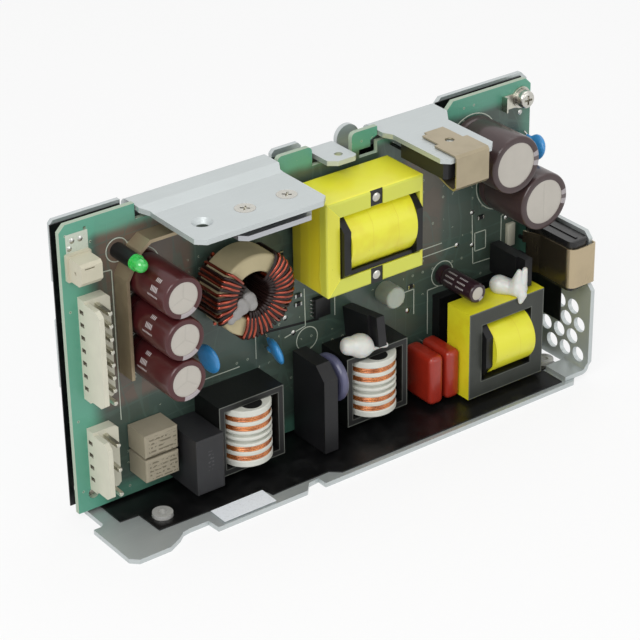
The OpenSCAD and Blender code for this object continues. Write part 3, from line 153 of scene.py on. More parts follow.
class Paint:
    """The nodes of one material or world, with places in millimetres of the board frame."""

    def __init__(self, name: str, world: Union[bpy.types.World, None] = None) -> None:
        """Makes an empty material, or opens the nodes of a world.

        Args:
            name: The material's name.
            world: The world, if it isn't a material.
        """
        self.material = world or bpy.data.materials.new(name)
        self.material.use_nodes = True
        self.tree = self.material.node_tree
        self.shader = self.tree.nodes["Background" if world else "Principled BSDF"]
        self.splits: dict[str, Sequence[bpy.types.NodeSocket]] = {}

    def fill(self, node: bpy.types.Node, values: dict) -> None:
        """Sets or links sockets of a node.

        Args:
            node: The node.
            values: A value or a signal for each socket, by name or number.
        """
        for key, value in values.items():
            socket = node.inputs[key]
            if isinstance(value, Signal):
                self.tree.links.new(value.socket, socket)
            else:
                socket.default_value = (*value, 1.0) if socket.type == "RGBA" else value

    def node(self, kind: str, settings: dict, values: dict) -> bpy.types.Node:
        """Adds a node.

        Args:
            kind: Blender's type of node.
            settings: Its own settings, which are set first.
            values: A value or a signal for each socket, by name or number.

        Returns:
            The node.
        """
        node = self.tree.nodes.new(kind)
        for key, setting in settings.items():
            setattr(node, key, setting)
        self.fill(node, values)
        return node

    def signal(self, kind: str, settings: dict, values: dict, output: Union[str, int]) -> Signal:
        """Adds a node, as node does, and returns the output of a name or number."""
        return Signal(self, self.node(kind, settings, values).outputs[output])

    def math(self, operation: str, *values: Value) -> Signal:
        """Returns the result of a Math node on one or two values."""
        return self.signal("ShaderNodeMath", {"operation": operation}, dict(enumerate(values)), 0)

    def reach(self, first: Signal, second: Signal) -> Signal:
        """Returns the distance that two offsets at right angles make."""
        return self.math("SQRT", first * first + second * second)

    def split(self, output: str, axis: Axis) -> Signal:
        """Returns one part of the piece's place or of its surface's direction, with its sign.

        Args:
            output: Texture Coordinate's output, Object or Normal.
            axis: The direction.

        Returns:
            The part in the row frame's units.
        """
        if output not in self.splits:
            vector = self.signal("ShaderNodeTexCoord", {}, {}, output)
            self.splits[output] = self.node("ShaderNodeSeparateXYZ", {}, {0: vector}).outputs
        number, sign, _ = axis.value
        return Signal(self, self.splits[output][number]) * sign

    def along(self, axis: Axis) -> Signal:
        """Returns the place along one direction of the board frame in millimetres."""
        return self.split("Object", axis) * MM + axis.value[2]

    def facing(self, axis: Axis) -> Signal:
        """Returns how far the surface faces along one direction of the board frame, -1 to 1."""
        return self.split("Normal", axis)

    def scaled(self, size: float, stretch: Point) -> Signal:
        """Measures the place in units of a size.

        Args:
            size: The size in millimetres.
            stretch: How many times longer the units are along the row frame's axes.

        Returns:
            The place in those units.
        """
        place = self.signal("ShaderNodeTexCoord", {}, {}, "Object")
        scale = tuple(MM / size / part for part in stretch)
        return self.signal("ShaderNodeVectorMath", {"operation": "MULTIPLY"}, {0: place, 1: scale}, 0)

    def noise(self, size: float, detail: float = 2.0, stretch: Point = (1, 1, 1), rough: float = 0.5) -> Signal:
        """Adds soft noise.

        Args:
            size: Size of its patches in millimetres.
            detail: Number of finer layers.
            stretch: How many times longer the patches are along the row frame's axes.
            rough: Weight of the finer layers.

        Returns:
            The noise, about 0 to 1.
        """
        values = {"Vector": self.scaled(size, stretch), "Scale": 1.0, "Detail": detail, "Roughness": rough}
        return self.signal("ShaderNodeTexNoise", {}, values, 0)

    def cells(self, size: float, stretch: Point = (1, 1, 1)) -> Signal:
        """Adds a square grid with a random level in each cell.

        Args:
            size: Side of a cell in millimetres.
            stretch: How many times longer the cells are along the row frame's axes.

        Returns:
            The level, 0 to 1.
        """
        values = {"Vector": self.scaled(size, stretch), "Scale": 1.0}
        colour = self.signal("ShaderNodeTexVoronoi", {"distance": "CHEBYCHEV"}, values, "Color")
        return self.signal("ShaderNodeSeparateColor", {}, {0: colour}, 0)

    def mix(self, factor: Value, first: Shade, second: Shade) -> Signal:
        """Returns the first colour where the factor is 0 and the second where it is 1."""
        return self.signal("ShaderNodeMix", {"data_type": "RGBA"}, {0: factor, 6: first, 7: second}, 2)

    def seen(self) -> Signal:
        """Tells the rays that show things from the rays that light them.

        Returns:
            1 for rays of the camera, of gloss and of clear plastic, and 0 for the rest.
        """
        path = self.node("ShaderNodeLightPath", {}, {})
        rays = [Signal(self, path.outputs[f"Is {kind} Ray"]) for kind in ("Camera", "Glossy", "Transmission")]
        return (rays[0] + rays[1] + rays[2]).least(1.0)

    def bump(self, height: Signal, depth: float, strength: float = 1.0) -> Signal:
        """Bends the normal by a height.

        Args:
            height: The height, 0 to 1.
            depth: Depth in millimetres of a height of 1.
            strength: Strength of the effect.

        Returns:
            The normal.
        """
        values = {"Height": height, "Distance": depth / MM, "Strength": strength}
        return self.signal("ShaderNodeBump", {}, values, "Normal")

    def done(self, values: dict) -> bpy.types.Material:
        """Sets or links the shader's sockets by name and returns the material."""
        self.fill(self.shader, values)
        return self.material


MADE: dict["Finish", bpy.types.Material] = {}


@dataclass(frozen=True)
class Finish:
    """A finish of one of the record's material slots."""

    slot: str
    colour: Colour
    roughness: float = 0.5

    def material(self) -> bpy.types.Material:
        """Makes the finish's material, or finds it where it is made already.

        Returns:
            The material.
        """
        if self not in MADE:
            MADE[self] = self.paint(Paint(f"{self.slot}_{len(MADE) + 1}"))
        return MADE[self]

    def tone(self, *factors: float, lift: float = 0.0) -> Colour:
        """Returns the colour times one factor, or times a factor for each part, with a lift added."""
        return tuple(min(1.0, part * factor + lift) for part, factor in zip(self.colour, factors * 3))

    def paint(self, paint: Paint) -> bpy.types.Material:
        """Builds the finish's nodes in an empty material and returns it."""
        raise NotImplementedError


@dataclass(frozen=True)
class BrushedSheet(Finish):
    """Bare aluminium sheet with a faint grain and handling marks."""

    metallic: float = 0.85
    grain: Point = (30.0, 1.0, 1.0)
    smudge: float = 14.0

    def paint(self, paint: Paint) -> bpy.types.Material:
        """Builds the grain and the marks on metal.

        Args:
            paint: The empty material's nodes.

        Returns:
            The material.
        """
        grain, smudge = paint.noise(0.35, 2, self.grain), paint.noise(self.smudge, 3)
        shade = paint.mix(smudge * 0.45, self.colour, self.tone(0.82))
        return paint.done({
            "Base Color": paint.mix(grain.above(0.62, 0.2) * 0.25, shade, self.tone(1.15)),
            "Metallic": self.metallic,
            "Roughness": self.roughness + (grain - 0.5) * 0.16 + (smudge - 0.5) * 0.12,
            "Normal": paint.bump(grain, 0.012, 0.5),
        })


@dataclass(frozen=True)
class PlatedMetal(Finish):
    """Plated steel, tin or spring metal with dull patches, and on request a painted dark reflection on its left
    side.
    """

    metallic: float = 1.0
    patch: float = 0.8
    dull: float = 0.5
    # shadow is the strength of the painted dark reflection on faces turned to the left; shadow_reach gives the
    # heights off the board that it spans.
    shadow: float = 0.0
    shadow_reach: Flat = (7.0, 25.5)

    def paint(self, paint: Paint) -> bpy.types.Material:
        """Builds patches and fine scratches on metal, and on request the painted dark reflection on the left side.

        Args:
            paint: The empty material's nodes.

        Returns:
            The material.
        """
        patch, fine = paint.noise(self.patch, 3), paint.noise(0.4, 2, (1, 1, 20))
        shade = paint.mix(patch.above(0.55, 0.3) * self.dull, self.colour, self.tone(0.72))
        # Painted dark reflection: faces turned to the left, between two heights off the board, are darkened.
        if self.shadow:
            left = 1 - paint.facing(Axis.ALONG).above(-0.7, 0.2)
            left = left * paint.along(Axis.OFF).between(*self.shadow_reach, 1.2)
            shade = paint.mix(left * self.shadow, shade, self.tone(0.12))
        return paint.done({
            "Base Color": shade, "Metallic": self.metallic,
            "Roughness": self.roughness + (patch - 0.5) * 0.15 + (fine - 0.5) * 0.08,
            "Normal": paint.bump(patch * 0.6 + fine * 0.4, 0.006, 0.3),
        })


@dataclass(frozen=True)
class Moulding(Finish):
    """Moulded plastic, rubber or epoxy with a fine skin and faint mottling."""

    coat: float = 0.0
    mottle: float = 0.12
    skin: float = 0.25

    def paint(self, paint: Paint) -> bpy.types.Material:
        """Builds the skin, the mottling and the marks of the kind.

        Args:
            paint: The empty material's nodes.

        Returns:
            The material.
        """
        skin, wide = paint.noise(self.skin, 2), paint.noise(5, 3)
        base = paint.mix(wide, self.tone(1 - 2 * self.mottle), self.tone(1 + self.mottle, lift=0.004))
        return paint.done({
            "Base Color": self.marked(paint, base),
            "Roughness": self.roughness + (wide - 0.5) * 0.15 + (skin - 0.5) * 0.08,
            "Specular IOR Level": 0.35, "Coat Weight": self.coat, "Coat Roughness": 0.2,
            "Normal": paint.bump(skin, 0.015, 0.6),
        })

    def marked(self, paint: Paint, base: Signal) -> Signal:
        """Returns the mottled colour with the marks of this kind of moulding, which are none here."""
        return base


@dataclass(frozen=True)
class MarkedCase(Moulding):
    """Moulded case whose front carries rows of plain broken bars."""

    low: Flat = (0.0, 0.0)
    high: Flat = (0.0, 0.0)
    mark: Colour = rgb(90, 84, 66)
    row: float = 1.25
    dash: float = 0.6

    def marked(self, paint: Paint, base: Signal) -> Signal:
        """Lays the bars over the colour.

        Args:
            paint: The nodes.
            base: The colour under the bars.

        Returns:
            The colour with the bars.
        """
        u, v = paint.along(Axis.ALONG), paint.along(Axis.UP)
        inside = u.between(self.low[0], self.high[0], 0.1) * v.between(self.low[1], self.high[1], 0.1)
        bars = v.wrapped(self.row).between(0.3, 0.85, 0.12) * paint.cells(self.dash).above(0.42, 0.05)
        return paint.mix(inside * bars * paint.facing(Axis.OFF).above(0.8, 0.2) * 0.8, base, self.mark)


@dataclass(frozen=True)
class SlottedNylon(Moulding):
    """Nylon of a pin header, with painted shade inside the slots of its lock wall, where the board shows through.
    """

    first: float = 0.0
    pitch: float = 4.0
    slots: int = 4
    face: float = 4.3
    deep: float = 0.72
    # Painted colour of the shaded board seen inside the slots.
    inside: Colour = rgb(66, 54, 42)

    def marked(self, paint: Paint, base: Signal) -> Signal:
        """Paints shade into the slots.

        Args:
            paint: The nodes.
            base: The colour round the slots.

        Returns:
            The colour with the painted shade in the slots.
        """
        half = self.pitch / 2
        v = paint.along(Axis.UP) - self.first
        slot = 1 - abs((v + half).wrapped(self.pitch) - half).above(0.62, 0.15)
        slot = slot * v.between(half, self.pitch * (self.slots + 0.5), 0.1)
        slot = slot * paint.along(Axis.ALONG).between(self.face - 0.5, self.face + self.deep, 0.05)
        # Painted shade in the slots, near the foot of the lock wall.
        return paint.mix(slot * paint.along(Axis.OFF).between(0.75, 2.75, 0.15) * 0.9, base, self.inside)


@dataclass(frozen=True)
class DippedCoating(Finish):
    """Thick dipped resin with a soft, lumpy gloss."""

    lump: float = 2.2

    def paint(self, paint: Paint) -> bpy.types.Material:
        """Builds the lumps and pits.

        Args:
            paint: The empty material's nodes.

        Returns:
            The material.
        """
        lump, pit = paint.noise(self.lump, 2), paint.noise(0.4, 2)
        shade = paint.mix(lump, self.tone(0.72), self.colour)
        return paint.done({
            "Base Color": paint.mix(pit.above(0.68, 0.1) * 0.35, shade, self.tone(0.45)),
            "Roughness": self.roughness, "Specular IOR Level": 0.4, "Coat Weight": 0.35, "Coat Roughness": 0.08,
            "Normal": paint.bump(lump * 0.8 + pit * 0.2, 0.12, 0.6),
        })


@dataclass(frozen=True)
class WindingTape(Finish):
    """Yellow polyester tape in layers, with edges, creases and small bubbles."""

    wrap: Axis = Axis.ALONG
    lap: float = 9.0

    def paint(self, paint: Paint) -> bpy.types.Material:
        """Builds laps, creases and an amber depth.

        Args:
            paint: The empty material's nodes.

        Returns:
            The material.
        """
        wave, crease = paint.noise(7, 2), paint.noise(3.2, 4, (1.0, 1.0, 2.6), 0.6)
        edge = (paint.along(self.wrap) + wave * 1.6).wrapped(self.lap).between(0.0, 0.28, 0.12)
        amber = self.tone(0.86, 0.7, 0.35)
        shade = paint.mix(wave.above(0.56, 0.25) * 0.35, self.colour, amber)
        shade = paint.mix(edge * 0.3, shade, amber)
        bubble = paint.noise(0.9, 1).above(0.79, 0.04)
        return paint.done({
            "Base Color": paint.mix(bubble * 0.35, shade, self.tone(0.35)),
            "Roughness": self.roughness + crease * 0.12, "Coat Weight": 0.3, "Coat Roughness": 0.25,
            "Normal": paint.bump(crease * 0.7 + wave * 0.5 + edge * 0.25, 0.22, 0.45),
        })


@dataclass(frozen=True)
class FramedTape(Finish):
    """Tape folded over a square frame, with mitred corners on its front, painted shading on its front strips, a
    painted highlight along its folds and painted shading bands down its side.
    """

    low: Flat = (74.4, 54.3)
    high: Flat = (109.1, 83.8)
    bars: tuple[float, float, float, float] = (4.5, 1.6, 5.1, 5.0)
    depth: Flat = (1.5, 18.6)
    # Colour of the painted shade at the back of the side, next to the board.
    shaded: Colour = rgb(120, 116, 40)

    def fronts(self, paint: Paint) -> Signal:
        """Parts the front's upright strips from its level ones.

        Args:
            paint: The nodes.

        Returns:
            More than 0 on the upright strips and less than 0 on the level ones.
        """
        u, v = paint.along(Axis.ALONG), paint.along(Axis.UP)
        left, right = (u - self.low[0]) * (1 / self.bars[0]), (self.high[0] - u) * (1 / self.bars[1])
        bottom, top = (v - self.low[1]) * (1 / self.bars[2]), (self.high[1] - v) * (1 / self.bars[3])
        return bottom.least(top) - left.least(right)

    def paint(self, paint: Paint) -> bpy.types.Material:
        """Builds the four front strips with painted shading, the folds between them with a painted highlight, and
        the side's painted shading bands.

        Args:
            paint: The empty material's nodes.

        Returns:
            The material.
        """
        crease, wave = paint.noise(2.4, 3, (1, 1, 2), 0.6), paint.noise(8, 2)
        amber, pale = self.tone(0.88, 0.74, 0.5), self.tone(0.72, 0.78, 1.7)
        front = paint.facing(Axis.OFF).above(0.6, 0.3)
        level = self.fronts(paint) + (crease - 0.5) * 0.08
        # Painted shading of the front strips: the upright and the level strips get different tones, as light falls
        # on them differently.
        strip = paint.mix(level.above(0.0, 0.05), pale, self.tone(0.84, 0.84, 1.2))
        fold = level.between(-0.035, 0.035, 0.03) * front
        shade = paint.mix(wave.above(0.55, 0.3) * 0.2, self.colour, amber)
        shade = paint.mix(front, shade, strip)
        # Painted shading on the left side: amber over it, a pale band towards the front, painted shade at the back
        # next to the board and a band of the tape's own colour between.
        side = 1 - paint.facing(Axis.ALONG).above(-0.6, 0.3)
        h = paint.along(Axis.OFF)
        place = h + (wave - 0.5) * 2.0
        shade = paint.mix(side * 0.75, shade, amber)
        shade = paint.mix(side * place.above(self.depth[1] - 3.4, 0.6) * 0.85, shade, pale)
        shade = paint.mix(side * (1 - place.above(self.depth[0] + 4.2, 0.8)) * 0.35, shade, self.shaded)
        shade = paint.mix(side * place.between(9.5, 10.6, 0.9) * 0.3, shade, self.colour)
        # Painted highlight along the mitred folds.
        shade = paint.mix(fold * 0.55, shade, self.tone(1.15))
        shade = paint.mix(paint.noise(0.9, 1).above(0.8, 0.03) * 0.3, shade, self.tone(0.35))
        height = crease * 0.5 + wave * 0.6 + fold * 0.8 + side * place.between(14.8, 15.4, 0.5) * 0.5
        return paint.done({
            "Base Color": shade, "Roughness": self.roughness + crease * 0.1, "Coat Weight": 0.3,
            "Coat Roughness": 0.25, "Normal": paint.bump(height, 0.25, 0.5),
        })


@dataclass(frozen=True)
class FerriteBody(Finish):
    """Sintered ferrite: dark and slightly shiny, with grain, small chips and a painted highlight along the chamfers
    round its front.
    """

    low: Flat = (0.0, 0.0)
    high: Flat = (0.0, 0.0)
    bar: float = 4.0
    # Colour of the painted highlight along the chamfers.
    wear_and_highlight: Colour = rgb(128, 132, 124)

    def paint(self, paint: Paint) -> bpy.types.Material:
        """Builds grain, chips and the painted highlight along the chamfers.

        Args:
            paint: The empty material's nodes.

        Returns:
            The material.
        """
        grain, wide = paint.noise(0.25, 3), paint.noise(4, 2)
        shade = paint.mix(wide, self.tone(0.75), self.tone(1.2))
        shade = paint.mix(grain.above(0.7, 0.08) * 0.4, shade, self.tone(2.2))
        # Painted highlight along the chamfers: the outer rim and the inner edge of the bars, on the front faces
        # only.
        if self.high > self.low:
            sides = []
            for axis, low, high in zip((Axis.ALONG, Axis.UP), self.low, self.high):
                place = paint.along(axis)
                sides.append((place - low).least(high - place))
            depth = sides[0].least(sides[1]) + (wide - 0.5) * 0.15
            rim = (1 - depth.above(0.28, 0.16)) + depth.between(self.bar - 0.25, self.bar + 0.1, 0.12) * 0.6
            rim = rim * paint.facing(Axis.OFF).above(0.6, 0.3)
            shade = paint.mix(rim * (0.35 + wide * 0.4), shade, self.wear_and_highlight)
        return paint.done({
            "Base Color": shade, "Metallic": 0.2, "Roughness": self.roughness + (grain - 0.5) * 0.25,
            "Normal": paint.bump(grain, 0.02, 0.5),
        })


@dataclass(frozen=True)
class Enamel(Finish):
    """Enamelled copper: warm metal under a coloured skin."""

    metallic: float = 0.8
    coat: float = 0.7

    def paint(self, paint: Paint) -> bpy.types.Material:
        """Builds darker runs along the wire.

        Args:
            paint: The empty material's nodes.

        Returns:
            The material.
        """
        run, fine = paint.noise(3.0, 3), paint.noise(0.5, 2)
        return paint.done({
            "Base Color": paint.mix(run.above(0.5, 0.35) * 0.7, self.colour, self.tone(0.45, 0.3, 0.3)),
            "Metallic": self.metallic, "Roughness": self.roughness + (fine - 0.5) * 0.15,
            "Coat Weight": self.coat, "Coat Roughness": 0.12, "Normal": paint.bump(fine, 0.03, 0.4),
        })


@dataclass(frozen=True)
class CuredSilicone(Finish):
    """Milky cured silicone."""

    def paint(self, paint: Paint) -> bpy.types.Material:
        """Builds a milky body with soft dents.

        Args:
            paint: The empty material's nodes.

        Returns:
            The material.
        """
        dent = paint.noise(1.6, 3)
        return paint.done({
            "Base Color": paint.mix(dent, self.tone(0.86), self.colour), "Roughness": self.roughness,
            "Subsurface Weight": 0.25, "Subsurface Scale": 0.0015, "Coat Weight": 0.2, "Coat Roughness": 0.3,
            "Normal": paint.bump(dent, 0.2, 0.6),
        })


@dataclass(frozen=True)
class BlackFilm(Finish):
    """Smooth black film with dust, scuffs and slow waves."""

    dust: Colour = rgb(110, 112, 110)

    def paint(self, paint: Paint) -> bpy.types.Material:
        """Builds waves, scuffs and dust.

        Args:
            paint: The empty material's nodes.

        Returns:
            The material.
        """
        dust, scuff = paint.noise(0.5, 2).above(0.72, 0.06), paint.noise(4, 3).above(0.6, 0.3)
        return paint.done({
            "Base Color": paint.mix(dust * 0.12 + scuff * 0.03, self.colour, self.dust),
            "Roughness": self.roughness + scuff * 0.12 + dust * 0.2, "Specular IOR Level": 0.35,
            "Normal": paint.bump(paint.noise(22, 2), 0.4, 0.3),
        })


@dataclass(frozen=True)
class BoardMask(Finish):
    """Solder mask over copper areas and bare laminate, with pale cut edges and plated holes."""

    plane: Colour = rgb(74, 84, 74)
    warm: Colour = rgb(112, 92, 80)
    lit: Colour = rgb(88, 158, 134)
    edge: Colour = rgb(164, 180, 160)
    plating: Colour = rgb(168, 178, 160)
    hole: Colour = rgb(24, 26, 24)
    pitch: float = 3.81

    def masked(self, paint: Paint, copper: Signal, track: Signal, haze: Signal) -> Signal:
        """Colours the mask over its copper, warmer and lighter in places.

        Args:
            paint: The nodes.
            copper: Where a copper area lies under the mask.
            track: Where a track lies under it.
            haze: Soft noise.

        Returns:
            The colour.
        """
        u, v = paint.along(Axis.ALONG), paint.along(Axis.UP)
        shift = (paint.noise(9, 3) - 0.5) * 5
        warm = (u + shift).between(11.5, 41, 3) * (v - shift).between(33, 90, 3)
        warm = warm.most((u + shift).between(116, 131, 3) * (v + shift).between(42, 80, 3) * 0.7)
        rim = (1 - (u + shift * 0.4).above(8.5, 6)) + (1 - (v + shift * 0.4).above(7.5, 4)) * 0.5
        rim = rim + (v + shift * 0.4).above(87.2, 3.4) * 0.95 + u.above(161.5, 5) * 0.5
        shade = paint.mix(copper * 0.5, self.colour, self.plane)
        shade = paint.mix(warm * (0.75 + copper * 0.2), shade, self.warm)
        shade = paint.mix(track * 0.5, shade, self.tone(1.5))
        shade = paint.mix(haze * 0.4, shade, self.tone(0.5))
        return paint.mix(rim.least(1.0) * 0.9, shade, self.lit)

    def paint(self, paint: Paint) -> bpy.types.Material:
        """Builds copper areas, tracks, plated holes and the pale cut edge.

        Args:
            paint: The empty material's nodes.

        Returns:
            The material.
        """
        haze = paint.noise(4, 4)
        copper = (paint.cells(9, (1.7, 1, 1)) * 0.5 + paint.noise(15, 2) * 0.5).above(0.52, 0.02)
        up, level = paint.noise(9, 1, (1, 1, 5)) - 0.48, paint.noise(10, 1, (6, 1, 1)) - 0.53
        track = 1 - abs(up).least(abs(level)).above(0.011, 0.008)
        shade = self.masked(paint, copper, track, haze)
        middle = [abs(paint.along(axis).wrapped(self.pitch) - 1.9) for axis in (Axis.ALONG, Axis.UP)]
        ring = paint.reach(*middle)
        pick = paint.cells(self.pitch).above(0.87, 0.01)
        via = (1 - ring.above(0.42, 0.08)) * pick
        shade = paint.mix(via * 0.7, shade, self.plating)
        shade = paint.mix((1 - ring.above(0.16, 0.05)) * pick, shade, self.hole)
        side = 1 - abs(paint.facing(Axis.OFF)).above(0.6, 0.2)
        return paint.done({
            "Base Color": paint.mix(side, shade, self.edge),
            "Roughness": self.roughness + haze * 0.12 + side * 0.3, "Coat Weight": 0.25, "Coat Roughness": 0.25,
            "Normal": paint.bump(copper * 0.8 + track * 0.6 - via * 0.5, 0.05, 0.5),
        })


@dataclass(frozen=True)
class ShrunkSleeve(Finish):
    """Shrunk plastic sleeve of a capacitor with one pale stripe along it and plain bars."""

    centre: Flat = (0.0, 0.0)
    stripe: Flat = (-25.0, 17.0)
    bars_h: float = 12.0
    bars: tuple[tuple[float, float, float, float], ...] = ()
    pale: Colour = rgb(176, 170, 172)
    ink: Colour = rgb(206, 200, 200)

    def paint(self, paint: Paint) -> bpy.types.Material:
        """Builds the stripe and the bars by their angle round the can's axis, and faint lines along it.

        Args:
            paint: The empty material's nodes.

        Returns:
            The material.
        """
        u, v = (paint.along(axis) - place for axis, place in zip((Axis.ALONG, Axis.UP), self.centre))
        h = paint.along(Axis.OFF)
        angle = paint.math("ARCTAN2", v, u) * math.degrees(1)
        at, half = self.stripe
        stripe = angle.between(at - half, at + half, 1.5)
        dash = h.wrapped(6).between(1.2, 3.6, 0.2) * angle.between(at - 5, at + 5, 1.5)
        wave = paint.noise(2.6, 2, (1, 5, 1))
        shade = paint.mix(wave, self.tone(0.75), self.tone(1.25))
        shade = paint.mix(stripe * 0.8, shade, self.pale)
        shade = paint.mix(stripe * dash * 0.8, shade, self.colour)
        for at, half, low, high in self.bars:
            bar = angle.between(at - half, at + half, 1.0)
            bar = bar * h.between(self.bars_h + low, self.bars_h + high, 0.15)
            shade = paint.mix(bar * h.wrapped(0.62).between(0.12, 0.5, 0.12) * 0.75, shade, self.ink)
        return paint.done({
            "Base Color": shade, "Roughness": self.roughness, "Specular IOR Level": 0.35, "Coat Weight": 0.3,
            "Coat Roughness": 0.08, "Normal": paint.bump(wave, 0.06, 0.35),
        })


@dataclass(frozen=True)
class ScoredTop(Finish):
    """Aluminium top of a can with its pressed vent lines, painted a little darker as shade."""

    centre: Flat = (0.0, 0.0)
    radius: float = 5.0
    turns: tuple[float, ...] = ()
    # Strength of the painted shade in the pressed lines.
    mark: float = 0.14

    def paint(self, paint: Paint) -> bpy.types.Material:
        """Builds the pressed lines from the middle outwards, with painted shade in them, over a satin surface.

        Args:
            paint: The empty material's nodes.

        Returns:
            The material.
        """
        u, v = (paint.along(axis) - place for axis, place in zip((Axis.ALONG, Axis.UP), self.centre))
        satin, wide = paint.noise(0.35, 3), paint.noise(3.5, 2)
        score = satin * 0
        for turn in self.turns:
            cos, sin = math.cos(math.radians(turn)), math.sin(math.radians(turn))
            line = (1 - abs(v * cos - u * sin).above(0.22, 0.25)) * (u * cos + v * sin).above(0.0, 0.2)
            score = score.most(line)
        score = score * (1 - paint.reach(u, v).above(self.radius * 0.86, 0.3))
        shade = paint.mix(wide, self.tone(0.9), self.colour)
        # The pressed lines are darkened a little: painted shade in the grooves.
        return paint.done({
            "Base Color": paint.mix(score * self.mark, shade, self.tone(0.5)), "Metallic": 0.55,
            "Roughness": self.roughness + (satin - 0.5) * 0.2,
            "Normal": paint.bump(satin * 0.15 - score, 0.08, 0.4),
        })


@dataclass(frozen=True)
class TintedLens(Finish):
    """Tinted clear plastic with a faint painted glow from inside."""

    def paint(self, paint: Paint) -> bpy.types.Material:
        """Builds a tinted body, mottled in depth, with a faint painted glow.

        Args:
            paint: The empty material's nodes.

        Returns:
            The material.
        """
        deep = paint.noise(1.2, 2)
        shade = paint.mix(deep, self.tone(0.7), self.colour)
        return paint.done({
            "Base Color": shade, "Roughness": self.roughness, "Coat Weight": 1.0, "Coat Roughness": 0.05,
            # Painted glow: the lens emits a faint light of its own colour.
            "Subsurface Weight": 0.4, "Subsurface Scale": 0.001, "Emission Color": shade,
            "Emission Strength": 0.12, "Normal": paint.bump(deep, 0.03, 0.3),
        })


@dataclass(frozen=True)
class PrintedInk(Finish):
    """Thin printed line work or paper."""

    def paint(self, paint: Paint) -> bpy.types.Material:
        """Builds ink with slight wear.

        Args:
            paint: The empty material's nodes.

        Returns:
            The material.
        """
        wear_and_highlight = paint.noise(0.6, 3)
        return paint.done({
            "Base Color": paint.mix(wear_and_highlight.above(0.6, 0.2) * 0.4, self.colour, self.tone(0.75)),
            "Roughness": self.roughness + wear_and_highlight * 0.1, "Normal": paint.bump(wear_and_highlight, 0.01, 0.3),
        })


